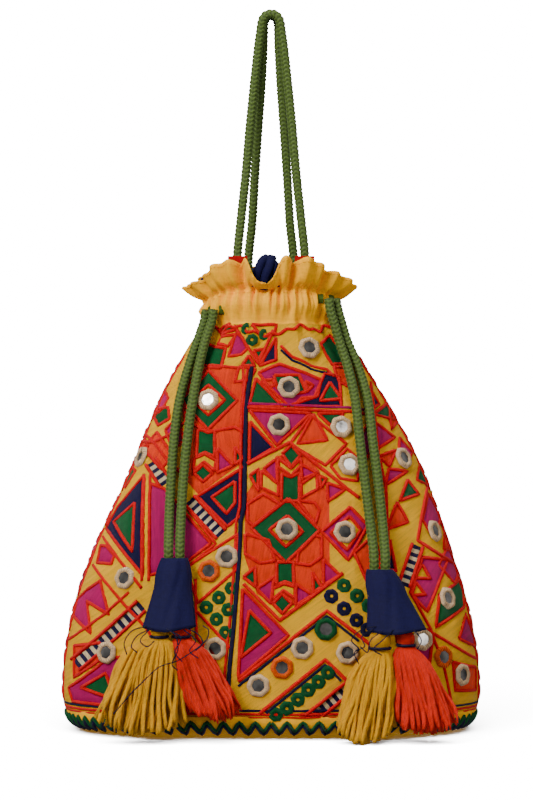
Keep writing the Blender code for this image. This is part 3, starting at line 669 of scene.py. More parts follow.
def side_fields(side):
    """Triangles that carry the pattern on round one side of the bag, and the side seam's line."""
    def edge(at, out):
        angle = np.array([EDGE_ANGLE * side], float)
        return float(body_points(angle, np.array([float(at)]))[0, 0]) + side * out

    fields = []
    for i in range(SIDE_TRIANGLES):
        low = SIDE_LOW + i * SIDE_PITCH
        tip, high = low + SIDE_TALL / 2, low + SIDE_TALL
        colour = (MAGENTA, GREEN, ORANGE, NAVY)[i % 4]
        points = ((edge(low, 1), low), (edge(tip, SIDE_REACH), tip), (edge(high, 1), high))
        fields.append((colour, SIDE_STITCHES, points))
    seam = (RED, SIDE_SEAM_WIDTH, tuple((edge(at, SIDE_SEAM_OUT), at) for at in range(16, 288, 16)))
    return fields, [seam]


def relief(angle, at):
    """How far the quilted cloth lies off the smooth surface, in mm: gathers at the neck, slack lower down."""
    angle, at = np.asarray(angle, float), np.asarray(at, float)
    f = np.clip((at - PLEAT_LOW) / (PLEAT_HIGH - PLEAT_LOW), 0, 1)
    gather = f * f * (3 - 2 * f)
    a = np.radians(angle)
    folds = 0.6 * np.cos(19 * a + 0.8 * np.sin(3 * a)) + 0.4 * np.cos(31 * a + 1.7)
    slack = 0.5 * np.sin(5 * a + at * 0.045) + 0.5 * np.sin(9 * a - at * 0.031 + 1.3)
    side = np.abs(np.sin(a)) ** 6
    dimples = np.sin(a * 38 + 2 * np.sin(at * 0.11)) * np.sin(at * 0.42 + 2 * np.sin(a * 9))
    loose = SLACK_DEPTH * (slack - 1) + DIMPLE_DEPTH * (dimples - 1)
    return PLEAT_DEPTH * gather * (folds - 1) / 2 + loose * (1 - side)


def on_body(angle, at, off):
    """Points this far off the quilted cloth, in the frame's metres."""
    n = normals(body_points, angle, at, 0.5)
    return framed(body_points(angle, at) + n * (relief(angle, at) + off)[..., None])


def dense(points, step, closed=False):
    """The polyline with extra points, no further apart than the step."""
    found = []
    pairs = list(zip(points, points[1:] + points[:1] if closed else points[1:]))
    for (x0, z0), (x1, z1) in pairs:
        count = max(1, ceil(((x1 - x0) ** 2 + (z1 - z0) ** 2) ** 0.5 / step))
        found += [(x0 + (x1 - x0) * k / count, z0 + (z1 - z0) * k / count) for k in range(count)]
    if not closed:
        found.append(points[-1])
    return found


def half_angles(xz, back):
    """Surface angle and height of pattern points on the front, or on the back as seen from behind.

    Past the edge angle the cloth turns away, and the pattern goes on round the side in EDGE_TURN degrees.
    """
    xz = np.asarray(xz, float)
    x, at = xz[:, 0], np.clip(xz[:, 1], 0, SHELL_TOP)
    limit = np.where(x > 0, body_points(np.full(len(x), EDGE_ANGLE), at)[:, 0],
                     -body_points(np.full(len(x), -EDGE_ANGLE), at)[:, 0])
    past = np.clip(np.abs(x) - limit, 0, None)
    angle = angles_at(np.clip(x, np.minimum(-limit, 0), limit), at)
    angle = angle + np.sign(x) * np.minimum(past * EDGE_TURN, 90 - EDGE_ANGLE)
    return angle + (180 if back else 0), xz[:, 1]


def bar_fields(start, end, width, count):
    start, end = Vector(start), Vector(end)
    across = (end - start).orthogonal().normalized() * width / 2
    fields = []
    for k in range(count):
        a, b = start.lerp(end, k / count), start.lerp(end, (k + 1) / count)
        colour = (NAVY, STRIPE_CREAM)[k % 2]
        fields.append((colour, 90, tuple(tuple(p) for p in (a + across, b + across, b - across, a - across))))
    return fields


FLAT_SCALE = 1.55     # millimetres of cloth to a degree of angle, about the middle of the bag
CELL = 3.2            # the cloth's mesh, in millimetres
CELL_JOG = 0.25       # how far every second row is set over, as a share of a cell
FIELD_STEP = 4.0      # between points of a field's outline
HALF_ANGLE = 90
SEAM_GAP = 0.1        # degrees that fields stay clear of the side seams
EDGE_GAP = 0.3        # millimetres that fields stay clear of the cloth's top and bottom edges
CUT_TOLERANCE = 1e-4
PLAIN_CLOTH = (GROUND, 35)

# The stitched fields' swell, how far in from an outline it is full, its curve and how deep its edges lie
PILLOW, PILLOW_REACH, PILLOW_POWER, PILLOW_SINK = 1.15, 2.8, 0.6, 0.2


def inside(points, loop):
    """Which of these points lie inside the loop."""
    x, z = points[:, 0], points[:, 1]
    found = np.zeros(len(points), bool)
    for (x0, z0), (x1, z1) in zip(loop, np.roll(loop, -1, axis=0)):
        if z0 != z1:
            found ^= ((z0 > z) != (z1 > z)) & (x < (x1 - x0) * (z - z0) / (z1 - z0) + x0)
    return found


def pillow(flat, triangles, owners):
    """How far each point swells off the cloth: nothing on the fields' outlines, and full in their middles."""
    touching = {}
    for corners, owner in zip(triangles, owners):
        for i in corners:
            touching.setdefault(int(i), set()).add(int(owner))
    outlines = np.array([flat[i] for i, owned in touching.items() if len(owned) > 1])
    nearest = np.array([np.min(np.hypot(*(outlines - point).T)) for point in flat])
    return PILLOW * np.minimum(1.0, nearest / PILLOW_REACH) ** PILLOW_POWER


def embroidered_half(name, fields, plain_fields, back, material):
    """One half of the pouch, cut along the fields' outlines, each field in its own thread and direction."""
    low, high = BASE_HEIGHT, SHELL_TOP
    everything = list(fields) + list(plain_fields)
    middle = 180 if back else 0
    furthest = HALF_ANGLE - SEAM_GAP
    verts, edges, loops = [], [], []
    for _, _, outline_points in everything:
        angle, at = half_angles(dense(tuple(outline_points), FIELD_STEP, closed=True), back)
        across = np.clip(angle - middle, -furthest, furthest) * FLAT_SCALE
        loop = np.stack([across, np.clip(at, low + EDGE_GAP, high - EDGE_GAP)], -1)
        start, count = len(verts), len(loop)
        verts += [Vector(point) for point in loop]
        edges += [(start + k, start + (k + 1) % count) for k in range(count)]
        loops.append(loop)
    width = 2 * HALF_ANGLE * FLAT_SCALE
    rows, columns = round((high - low) / CELL), round(width / CELL)
    for r in range(rows + 1):
        for c in range(columns + 1):
            jog = CELL * CELL_JOG if r % 2 and 0 < c < columns else 0
            verts.append(Vector((width * (c / columns - 0.5) + jog, low + (high - low) * r / rows)))
    points, _, triangles, _, _, _ = delaunay_2d_cdt(verts, edges, [], 0, CUT_TOLERANCE, False)
    flat = np.array([tuple(p) for p in points])
    triangles = np.array(triangles)
    owners = np.full(len(triangles), -1)
    for i, loop in enumerate(loops):
        owners[inside(flat[triangles].mean(axis=1), loop)] = i

    degrees, at = flat[:, 0] / FLAT_SCALE + middle, flat[:, 1]
    placed = on_body(degrees, at, pillow(flat, triangles, owners) - PILLOW_SINK)
    across = body_points(degrees, at)[:, 0] * (-1 if back else 1)
    uvs, colours = [], []
    for corners, owner in zip(triangles, owners):
        colour, turn = PLAIN_CLOTH if owner < 0 else everything[owner][:2]
        turn = radians(turn)
        for i in corners:
            x, z = across[i], at[i]
            uvs.append((x * cos(turn) + z * sin(turn), -x * sin(turn) + z * cos(turn)))
            colours.append((*colour, 1.0))
    faces = [tuple(int(i) for i in corners) for corners in triangles]
    return make_piece(name, placed, faces, material, uvs=uvs, colours=colours)


ROPE_STEP, ROPE_SUNK, SHORTEST_RUN = 2.2, 0.35, 3
ROPE_LOW, ROPE_HIGH, ROPE_ANGLE = 14.8, 290, 88     # where couched lines stop at the edges of the cloth


def add_rope(batch, points, width, back, closed=False, off=ROPE_SUNK):
    """A couched line: a low rope of thread that follows the cloth."""
    ring = dense(tuple(points), ROPE_STEP, closed)
    if closed:
        ring.append(ring[0])
    angle, at = half_angles(ring, back)
    keep = (at > ROPE_LOW) & (at < ROPE_HIGH) & (np.abs(angle - (180 if back else 0)) < ROPE_ANGLE)
    runs, run = [], []
    for i in range(len(ring)):
        if keep[i]:
            run.append(i)
        elif run:
            runs.append(run)
            run = []
    runs.append(run)
    for run in runs:
        if len(run) >= SHORTEST_RUN:
            batch.add_tube(on_body(angle[run], at[run], np.full(len(run), off)), width / 2, across=True)


def add_line_round(batch, height, radius, off):
    """A couched line right round the bag, at one height or at a function's height for each angle."""
    angle = np.arange(361.0)
    at = height(angle) if callable(height) else np.full_like(angle, height)
    batch.add_tube(on_body(angle, at, np.full_like(angle, off)), radius, caps=False, across=True)


# A buttonhole ring across, as shares of the way from its hole to its rim and of its height
RING_PROFILE = ((0, 0.55), (0.15, 0.95), (0.5, 1.0), (0.85, 0.75), (1, 0.0))
POINTS_PER_STITCH = 3


def add_ring(batch, centre, normal, radius, hole, height, stitches, phase):
    """A buttonhole ring: radial stitches round a mirror, raised in the middle of the ring."""
    normal = Vector(normal).normalized()
    side = normal.orthogonal().normalized()
    other = normal.cross(side)
    columns = stitches * POINTS_PER_STITCH
    profile = [(hole + share * (radius - hole), rise) for share, rise in RING_PROFILE]
    points, uvs = [], []
    for c in range(columns):
        angle = 2 * pi * c / columns + phase
        ridge = 0.82 + 0.18 * cos(2 * pi * c / POINTS_PER_STITCH)
        ragged = 1 + 0.035 * sin(angle * 7 + phase * 9)
        for reach, rise in profile:
            spread = (side * cos(angle) + other * sin(angle)) * reach * ragged * MM
            points.append(Vector(centre) + spread + normal * (rise * ridge * height * MM))
    faces = []
    width = len(profile)
    around = 2 * pi * (hole + radius) / 2 / columns
    for c in range(columns):
        d = (c + 1) % columns
        for r in range(width - 1):
            faces.append((c * width + r, c * width + r + 1, d * width + r + 1, d * width + r))
            uvs += [(profile[r][0], c * around), (profile[r + 1][0], c * around),
                    (profile[r + 1][0], (c + 1) * around), (profile[r][0], (c + 1) * around)]
    batch.add(points, faces, uvs)


def surface_frame(x, at, back):
    angle, at = half_angles([(x, at)], back)
    centre = on_body(angle, at, np.full(1, RAISED))[0]
    return centre, normals(body_points, angle, at, 0.5)[0]


def back_angle(centre):
    """The angle and height on the back of a point of it."""
    height = np.array([(centre.z - BASE_Z) / MM])
    low, high = 90.0, 270.0
    for _ in range(40):
        middle = (low + high) / 2
        if body_points(np.array([middle]), height)[0, 0] > centre.x / MM:
            low = middle
        else:
            high = middle
    return np.array([middle]), height


def add_cloth_halves(front_fields, back_fields, material):
    bars = [field for bar in FRONT_BARS for field in bar_fields(*bar)]
    chevrons = [(GROUND, 90, points) for points in FRONT_CHEVRONS]
    front_fields = list(FRONT_GROUNDS) + front_fields
    front = embroidered_half("embroidered_front", front_fields, chevrons + bars, False, material)
    back = embroidered_half("embroidered_back", back_fields, [], True, material)
    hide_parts("embroidered_body")
    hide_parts("embroidered_body")


def add_lines(halves, materials):
    """The couched lines of both halves, from each half's side, fields and lines."""
    ropes = {colour: Batch() for colour in (RED, NAVY, MAGENTA)}
    for behind, fields, lines in halves:
        for _, _, points in fields:
            add_rope(ropes[RED], points, OUTLINE_WIDTH, behind, closed=True)
        for colour, width, points in lines:
            add_rope(ropes[colour], points, width, behind, off=RAISED)
    for points in FRONT_CHEVRONS:
        add_rope(ropes[RED], points, OUTLINE_WIDTH, False, closed=True)
    for start, end, width, _ in FRONT_BARS:
        across = (Vector(end) - Vector(start)).orthogonal().normalized() * (width / 2 + 1)
        for side in (-1, 1):
            route = tuple(tuple(Vector(point) + across * side) for point in (start, end))
            add_rope(ropes[RED], route, OUTLINE_WIDTH, False, off=RAISED)
    for label, colour in (("red", RED), ("navy", NAVY), ("magenta", MAGENTA)):
        ropes[colour].piece(f"{label}_lines", materials[colour], "embroidered_cloth")


def add_rings(materials):
    """The buttonhole rings: one round each mirror, and the front's eyelets, which hold none."""
    rings = {colour: Batch() for colour in (CREAM, RING_ORANGE, GREEN, NAVY)}
    for half, count in MIRRORS:
        for i in range(1, count + 1):
            low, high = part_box(f"{half}_mirror_{i:02d}")
            centre = (Vector(low) + Vector(high)) / 2
            if half == "front":
                angle, at = half_angles([(centre.x / MM, (centre.z - BASE_Z) / MM)], False)
                colour = SPECIAL_RINGS.get(i, CREAM)
            else:
                angle, at = back_angle(centre)
                colour = CREAM
            normal = normals(body_points, angle, at, 0.5)[0]
            base = centre - Vector(normal) * (RING_SUNK * MM)
            phase = i * RING_TURN
            add_ring(rings[colour], base, normal, RING_RADIUS, RING_HOLE, RING_HEIGHT, RING_STITCHES, phase)
    for colour, radius, centres in FRONT_EYELETS:
        for x, z in centres:
            centre, normal = surface_frame(x, z, False)
            add_ring(rings[colour], centre, normal, radius, EYELET_HOLE, EYELET_HEIGHT, EYELET_STITCHES, x)
    for label, colour in (("cream", CREAM), ("orange", RING_ORANGE), ("green", GREEN), ("navy", NAVY)):
        rings[colour].piece(f"{label}_rings", materials[colour], "embroidered_cloth")


def add_embroidery(cloth_material, rope_materials, ring_materials):
    front_fields, front_lines = list(FRONT_FIELDS), list(FRONT_LINES)
    back_fields, back_lines = back_pattern()
    for side in (-1, 1):
        more_fields, more_lines = side_fields(side)
        front_fields += more_fields
        front_lines += more_lines
        back_fields += more_fields
    add_cloth_halves(front_fields, back_fields, cloth_material)
    add_lines(((False, front_fields, front_lines), (True, back_fields, back_lines)), rope_materials)
    add_rings(ring_materials)


# --- bottom band and neck ------------------------------------------------------------------------


def rounded_sheet(name, surface, levels, columns, material, thickness, ends_closed=False):
    """Cloth all the way round, with an inside face. surface gives points and outward normals.

    Its two edges meet in a rim or, where the ends are closed, it is shut across the bottom.
    """
    rows = []
    for level in levels:
        angle = np.arange(columns) * 360 / columns
        rows.append(surface(angle, np.full(columns, float(level))))
    outer = np.array([points for points, _ in rows])
    outward = np.array([normal for _, normal in rows])
    inner = outer - outward * thickness
    points = np.concatenate([outer, inner[::-1]]).reshape(-1, 3)
    faces = grid_faces(len(levels) * 2, columns)
    last = (len(levels) * 2 - 1) * columns
    if ends_closed:
        faces += [tuple(range(columns))[::-1], tuple(last + c for c in range(columns))]
    else:
        faces += [(last + c, last + (c + 1) % columns, (c + 1) % columns, c) for c in range(columns)]
    return make_piece(name, points, faces, material)


BAND_SLACK = 0.35


def band_surface(angle, at):
    """The plain band along the bottom, curving under, with a little slack in it."""
    n = normals(body_points, angle, np.maximum(at, 0.6), 0.5)
    slack = BAND_SLACK * np.sin(np.radians(angle) * 23) * np.sin(pi * np.clip(at / BASE_HEIGHT, 0, 1))
    return framed(body_points(angle, at) + n * (BAND_SLACK + slack)[..., None]), n


BAND_LEVELS = (0, 0.5, 1.2, 2.2, 3.4, 4.8, 6.4, 8.2, 10, 11.8, 13.4, BASE_HEIGHT)
TEETH, STEPS_PER_TOOTH, TOOTH_LOW, TOOTH_HIGH = 84, 6, 4.2, 10.2
BRAID_RADIUS, BRAID_OFF, GREEN_LIFT, NAVY_LIFT = 1.25, 1.2, 0.9, -1.5


def rickrack(name, lift, material):
    """One of the two zigzag braids along the bottom band, this far above the band's middle line."""
    centres = []
    for k in range(TEETH * STEPS_PER_TOOTH):
        angle = np.array([k * 360 / (TEETH * STEPS_PER_TOOTH)])
        swing = 2 * abs((k / STEPS_PER_TOOTH) % 1 - 0.5)
        at = np.array([TOOTH_LOW + (TOOTH_HIGH - TOOTH_LOW) * (3 * swing**2 - 2 * swing**3) + lift])
        outward = normals(body_points, angle, at, 0.4)
        centres.append(framed(body_points(angle, at) + outward * BRAID_OFF)[0])
    centres.append(centres[0])
    batch = Batch()
    batch.add_tube(centres, BRAID_RADIUS, caps=False, across=True)
    return batch.piece(name, material, "rickrack_braid")


def add_bottom(yellow, red, green, navy):
    band = rounded_sheet("bottom_band", band_surface, BAND_LEVELS, 360, yellow, 1.0 * MM)
    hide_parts("base_band")
    trim = rickrack("green_rickrack", GREEN_LIFT, green)
    rickrack("navy_rickrack", NAVY_LIFT, navy)
    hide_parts("rickrack_trim")
    edging = Batch()
    for height, width in ((16.4, 2.4), (14.2, 1.8)):
        add_line_round(edging, height, width / 2, 0.5)
    edging.piece("bottom_red_line", red, "embroidered_cloth")
    upper = Batch()
    add_line_round(upper, 18.9, 1.1, 0.45)
    upper.piece("bottom_navy_line", navy, "embroidered_cloth")


NOTCH_ANGLE, NOTCH_HALF_WIDTH, NOTCH_DEPTH = -5, 9.5, 17
NECK_LOW = -1.0
SEAM_MIDDLE, SEAM_DIP, SEAM_OFF = 286.5, 7, 1.0

# How far the neck cloth is pushed out: its fine pleats at the cinched casing, beside it and at the frill's
# edge, its wide folds in the frill and below the casing, and the swell or dip of the whole cloth
FINE_CINCHED, FINE_BESIDE, FINE_EDGE = 0.9, 3.4, 0.4
WIDE_FRILL, WIDE_BELOW, WIDE_RISE = 9.5, 2.6, 4.5
SWELL_BELOW, CINCH_IN, THROAT_IN, EDGE_OUT = 1.9, 0.6, 3.0, 1.2

# The lining's top in the pouch and its rings up the neck, as half width, half depth and height
LINING_TOP, LINING_INSET, LINING_FRILL_INSET = 266, 4.6, 2.4
LINING_NECK = ((50, 36, 276), (43.8, 33.8, 283), (37.5, 27.5, 291), (36.8, 26.8, 302), (37.5, 27.5, 311))


def seam_height(angle):
    """The wavy lower edge of the neck cloth, which dips between the pleats and most in front."""
    a = np.radians(angle)
    front = (np.asarray(angle) + 180) % 360 - 180
    dip = SEAM_DIP * np.exp(-(((front + 3) / 9) ** 2))
    return SEAM_MIDDLE + 1.7 * np.cos(13 * a + 0.6) + 1.1 * np.cos(29 * a) - dip


def frill_surface(angle, level):
    """The neck cloth with its gathers, which are tight at the casing and open out to the frill's edge."""
    level = np.asarray(level, float)
    if level[0] < NECK_LOW:
        at = seam_height(angle)
        return on_body(angle, at, np.full(len(angle), SEAM_OFF)), normals(body_points, angle, at, 0.5)
    a = np.radians(angle)
    up = np.clip(level, 0, 1)
    below = np.clip(-level, 0, 1)
    notch = NOTCH_DEPTH * np.exp(-(((angle + 180) % 360 - 180 - NOTCH_ANGLE) / NOTCH_HALF_WIDTH) ** 4)
    points = neck_points(angle, level)
    n = normals(neck_points, angle, np.clip(level, -0.9, 0.95), 0.02)
    outward = np.stack([np.sin(a), -np.cos(a), np.zeros_like(a)], axis=-1)
    fine = np.abs(np.sin(20.5 * a + 0.9 * np.sin(5 * a))) - 0.6 + 0.25 * np.cos(67 * a + 2.1)
    wide = np.abs(np.sin(6.5 * a + 1.1 * np.sin(3 * a) + 0.5)) ** 0.75 - 0.5 + 0.22 * np.cos(27 * a + 1.1)
    cinch = np.exp(-((level / 0.2) ** 2))
    pushed = (
        fine * (FINE_CINCHED * cinch + FINE_BESIDE * (1 - up) ** 2 * (1 - below**2) + FINE_EDGE * up)
        + wide * (WIDE_FRILL * np.sin(pi * (up * 0.72)) + WIDE_BELOW * np.sin(pi * below))
        + SWELL_BELOW * np.sin(pi * below)
        - CINCH_IN * cinch - THROAT_IN * np.exp(-(((level - 0.14) / 0.1) ** 2))
        + EDGE_OUT * up
    )
    joined = np.clip(below * 1.6 - 0.6, 0, 1)
    push = pushed * (1 - joined) + (relief(angle, np.full_like(angle, SHELL_TOP)) + 0.7) * joined
    points = points + outward * push[..., None]
    rise = points[..., 2] - CASING_TOP
    edge = FRILL_TOP - CASING_TOP
    lifted = WIDE_RISE * wide * up**2 * (1 - 0.85 * np.sin(a) ** 2)
    points[..., 2] -= notch * np.clip(rise / edge, 0, 1) - lifted
    return framed(points), n


def lining_surface(angle, level):
    """The lining inside the pouch (level below 0, a share of the way down), the casing and the frill."""
    n = np.stack([np.sin(np.radians(angle)), -np.cos(np.radians(angle)), np.zeros_like(angle)], axis=-1)
    level = float(level[0])
    if level > 1:
        points, _ = frill_surface(angle, np.full(len(angle), (level - 1) * 0.97))
        return points - n * LINING_FRILL_INSET * MM, n
    if level > 0:
        half_width, half_depth, height = LINING_NECK[round(level * (len(LINING_NECK) - 1))]
        x, y = outline(angle, half_width, half_depth)
        return framed(np.stack([x, y, np.full(len(angle), height)], -1)), n
    at = np.full(len(angle), LINING_TOP * (1 + level) + 3)
    points = body_points(angle, at)
    return framed(points - normals(body_points, angle, at, 0.5) * LINING_INSET), n


# Folds of the lining that show in the frill's front notch: route and radius, in millimetres
LINING_FOLDS = (
    (((-11, -36, 316), (-9.5, -39, 326), (-6, -39, 334), (-3, -37, 336)), 3.4),
    (((-5, -37, 314), (-4, -39.5, 322), (-1, -40.5, 330), (0.5, -38, 337)), 3.6),
    (((3.5, -36, 316), (3.5, -38.5, 324), (2.5, -39, 331), (0, -37, 334)), 3.0),
)


def add_lining(navy):
    """The lining: ten rows up the pouch, five round the casing's inside and seven up the frill."""
    levels = [-1 + 0.1 * k for k in range(10)] + [0.01, 0.25, 0.5, 0.75, 1.0]
    levels += [1.25 + 0.125 * k for k in range(7)]
    lining = rounded_sheet("lining_cloth", lining_surface, levels, 240, navy, 0.7 * MM, True)
    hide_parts("lining")


def add_lining_folds(navy):
    batch = Batch()
    for route, radius in LINING_FOLDS:
        batch.add_tube(smooth_route([framed(p) for p in route], SMOOTH_STEP * MM), radius, sides=16)
    batch.piece("lining_folds", navy, "navy_cloth")


STITCH_ROWS, STITCHES, STITCH_PITCH, STITCH_LENGTH = (0.0, 0.88), 150, 2.4, 1.45     # degrees
STITCH_RADIUS, SEAM_RADIUS = 0.28, 1.3


def add_neck(yellow, red):
    """The neck cloth: its seam on the pouch, seven rows up to the casing, and the frill."""
    levels = [NECK_LOW - 1] + [NECK_LOW + 0.125 * k for k in range(7)] + [-0.06, 0, 0.06]
    levels += [0.06 + 0.94 * k / 11 for k in range(1, 12)]
    neck = rounded_sheet("neck_cloth", frill_surface, levels, 540, yellow, 0.9 * MM)
    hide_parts("neck_band")
    stitches = Batch()
    for level in STITCH_ROWS:
        for k in range(STITCHES):
            angle = np.linspace(k * STITCH_PITCH, k * STITCH_PITCH + STITCH_LENGTH, 4)
            centres, _ = frill_surface(angle, np.full(4, level))
            outward = np.stack([np.sin(np.radians(angle)), -np.cos(np.radians(angle)), np.zeros(4)], -1)
            stitches.add_tube(centres + outward * 0.2 * MM, STITCH_RADIUS, sides=4)
    stitches.piece("neck_stitches", yellow, "yellow_cloth")
    seam = Batch()
    add_line_round(seam, seam_height, SEAM_RADIUS, 0.9)
    seam.piece("neck_seam_line", red, "embroidered_cloth")


# --- cords ---------------------------------------------------------------------------------------

# Half of each handle's route, in millimetres across, deep and above the base. The other half mirrors it.
FRONT_HANDLE = (
    (24.2, -12.8, 301), (24.4, -13.4, 320), (24.2, -13.2, 340), (21.9, -11.8, 363), (18.3, -9.6, 397),
    (15.3, -7.4, 432), (11.8, -5.4, 467), (9, -4.4, 492), (7.4, -4.1, 503), (6.3, -4, 509.5),
    (3.6, -4, 513.4),
)
FRONT_APEX = (0, -4, 514.4)
REAR_HANDLE = (
    (16.4, 17.8, 301), (16.8, 17.8, 320), (16.4, 16.4, 340), (13.9, 13.4, 363), (11.8, 10.2, 397),
    (9.4, 7.6, 432), (6.9, 5.4, 467), (5.6, 4.4, 492), (5.3, 4.1, 503), (5, 4, 509), (3, 4, 513.2),
)
REAR_APEX = (0, 4, 514.2)

# Each hanging strand: from the neck to inside its cap, in millimetres across, deep and above the base
STRANDS = {
    "left_front_strand": (
        (-41.2, -28.8, 299.5), (-42.2, -29.8, 292), (-46.8, -33.5, 277.7), (-51.5, -39.7, 258),
        (-55.6, -46.8, 234.5),
        (-59.3, -54, 206), (-61.6, -60.5, 181), (-63, -68.5, 156), (-63.5, -76.5, 138), (-63.6, -79, 131),
        (-63.6, -79, 122),
    ),
    "left_rear_strand": (
        (-46.5, -22.8, 299.5), (-47.8, -24, 292), (-52.3, -28.4, 278), (-59, -34, 258), (-65.2, -40.9, 234.5),
        (-68.8, -49.5, 206), (-70.4, -57, 181), (-71.4, -66, 156), (-71.5, -75.5, 138), (-71.5, -79, 131),
        (-71.5, -79, 122),
    ),
    "right_front_strand": (
        (41.2, -28.8, 307.3), (42.4, -30.4, 299), (45.6, -31.6, 288), (48.6, -33, 277), (54.6, -38.3, 258),
        (59.6, -46, 234.5), (62.6, -55, 206), (65.4, -61.8, 181), (69, -69.5, 151), (71.3, -77, 130),
        (71.6, -79, 123), (71.6, -79, 114),
    ),
    "right_rear_strand": (
        (46.5, -22.8, 307.3), (48.2, -24.6, 299), (51.3, -26, 288), (54.6, -27.6, 277), (62.2, -31.8, 258),
        (68.7, -40.3, 234.5), (71.8, -51.2, 206), (74.8, -58.3, 181), (77.8, -67, 151), (79.3, -76.5, 130),
        (79.5, -79, 123), (79.5, -79, 114),
    ),
}
BRAID_PITCH, BRAID_COLUMNS, BRAID_SIDES = 3.1, 4, 28
GROOVE_SHADE = 0.32     # how much of the colour is left at the bottom of the braid's grooves


def braid_shape(travelled, angle):
    """Chevron columns of a round braid: V stitches up each column, with a groove between columns."""
    column = angle / (2 * pi) * BRAID_COLUMNS
    fold = abs(column % 1 - 0.5) * 2
    stitch = cos(2 * pi * (travelled / (BRAID_PITCH * MM) + 0.55 * fold))
    return (0.30 * stitch - 0.45 * (1 - fold) ** 6 - 0.25 * fold**8) * MM


def braid_material():
    material, nodes, links, shader = new_material("braided_cord", 0.62)
    shader.inputs["Sheen Weight"].default_value = 0.08
    shader.inputs["Specular IOR Level"].default_value = 0.25
    # The "thread" colour holds the cord's green, with painted shade in the braid's grooves.
    attribute = nodes.new("ShaderNodeVertexColor")
    attribute.layer_name = "thread"
    place = nodes.new("ShaderNodeTexCoord").outputs["Object"]
    fuzz = add_noise(nodes, links, place, 1500)
    shade_by(nodes, links, shader, attribute.outputs["Color"], fuzz, 0.75, 1.2)
    add_bump(nodes, links, shader, fuzz, 0.4, 0.0004)
    return material


def braided_cord(name, route, material, body):
    path = smooth_route([framed(p) for p in route], BRAID_PITCH / 5 * MM)
    sides = BRAID_SIDES
    radius = CORD_DIAMETER / 2 - 0.2 * MM
    points, faces, _ = tube(path, radius, sides=sides, shape=braid_shape)
    centres = np.repeat(np.array([tuple(p) for p in path]), sides, axis=0)
    off = np.linalg.norm(np.array([tuple(p) for p in points]) - centres, axis=1)
    # Painted shade: the cord's colour is darker towards the bottom of the braid's grooves.
    lit = np.clip((off - (radius - 0.55 * MM)) / (0.8 * MM), 0, 1) ** 0.8
    shades = [(*(c * (GROOVE_SHADE + share) for c in CORD_GREEN), 1.0) for share in lit]
    colours = [shades[i] for face in faces for i in face]
    cord = make_piece(name, points, faces, material, body, colours=colours)
    return cord, path


def add_cords():
    material = braid_material()
    handles = (("front_handle", FRONT_HANDLE, FRONT_APEX), ("rear_handle", REAR_HANDLE, REAR_APEX))
    for name, half, apex in handles:
        route = list(half) + [apex] + [(-x, y, z) for x, y, z in reversed(half)]
        cord, path = braided_cord(f"{name}_braid", route, material, "bag")
        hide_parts(name)
    for name, route in STRANDS.items():
        side = name.split("_")[0]
        cord, path = braided_cord(f"{name}_braid", route, material, f"{side}_drop")
        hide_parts(name)


# --- caps and tassels ----------------------------------------------------------------------------

# Each cap: its side, its top, its mouth and the mouth's half sizes, in millimetres
CAPS = (
    ("left", (-67.5, -79, 125), (-70, -94, 77), (18, 12)),
    ("right", (75.5, -79, 117), (87, -94, 75), (20, 12)),
)
CAP_TOP = (9.2, 6.2)
CAP_COLUMNS, CAP_ROWS, CAP_INSIDE = 72, 22, 0.93
CAP_SWELL, CAP_FOLD, CAP_CREASE, CAP_DIP = 0.14, 0.08, 0.14, 1.6


def cap_point(share, angle, top, mouth, mouth_size, inside_share):
    """A point of the cap, this share of the way down from its top to its mouth."""
    swell = 1 + CAP_SWELL * sin(pi * min(1, share * 2.4)) * (1 - share)
    fold = CAP_FOLD * share * cos(5 * angle + 2.2 * share) + 0.025 * cos(9 * angle) * (1 - share)
    crease = CAP_CREASE * exp(-(((angle - 5.3 + 0.9 * share) / 0.22) ** 2)) * min(1, share * 3)
    out = (1 + fold - crease) * swell * inside_share
    x, y, z = (t + (m - t) * share for t, m in zip(top, mouth))
    half_x, half_y = (t + (m - t) * share for t, m in zip(CAP_TOP, mouth_size))
    dip = CAP_DIP * cos(2 * angle + 0.6) * share
    return x + half_x * out * cos(angle), y + half_y * out * sin(angle), z + dip


def add_cap(side, top, mouth, mouth_size, material):
    """A folded cloth end cap: pinched at the cords, with flat folds that open out to its mouth."""
    shares = [r / (CAP_ROWS - 1) for r in range(CAP_ROWS)]
    turns = [2 * pi * c / CAP_COLUMNS for c in range(CAP_COLUMNS)]
    rows = [(share, 1) for share in shares] + [(share, CAP_INSIDE) for share in reversed(shares)]
    points = framed([cap_point(share, turn, top, mouth, mouth_size, inside_share)
                     for share, inside_share in rows for turn in turns])
    faces = [face[::-1] for face in grid_faces(len(rows), CAP_COLUMNS)]
    faces.append(tuple(range(CAP_COLUMNS)))
    cap = make_piece(f"{side}_cap_cloth", points, faces, material, f"{side}_drop")
    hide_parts(f"{side}_cap")


# Each tassel: yarn, tied point, head radius, and the skirt's rows as depth below the point, left edge,
# right edge and half depth
TASSELS = (
    ("left_yellow_tassel", "yellow", (-77.5, -95.5, 75.5), 5.5,
     ((4, -88, -68, 7), (12, -99, -64, 9.5), (25, -107, -62, 10.5), (50, -119, -58.5, 11.5),
      (66, -122, -57, 12), (72, -121, -58, 12))),
    ("left_orange_tassel", "orange", (-62.5, -95.5, 75.5), 5.5,
     ((4, -70, -54, 6), (12, -68, -46, 8.5), (25, -65.5, -37, 9.5), (48, -60, -22, 10.5),
      (63, -53, -18, 10.5))),
    ("right_yellow_tassel", "yellow", (75, -95.5, 69), 7.5,
     ((9, 64, 84, 8), (25, 54, 87, 10.5), (50, 47, 86, 11.5), (66, 43.5, 84, 12), (71.5, 43, 83, 12))),
    ("right_orange_tassel", "orange", (93, -95.5, 70), 6,
     ((8, 84, 103, 8), (25, 84, 115, 10.5), (48, 85, 126, 11.5), (60, 86, 130, 12), (66, 87, 129, 12))),
)
YARNS, YARN_RADIUS, YARN_STEPS, YARN_SWAY = 110, 1.45, 14, 3.0
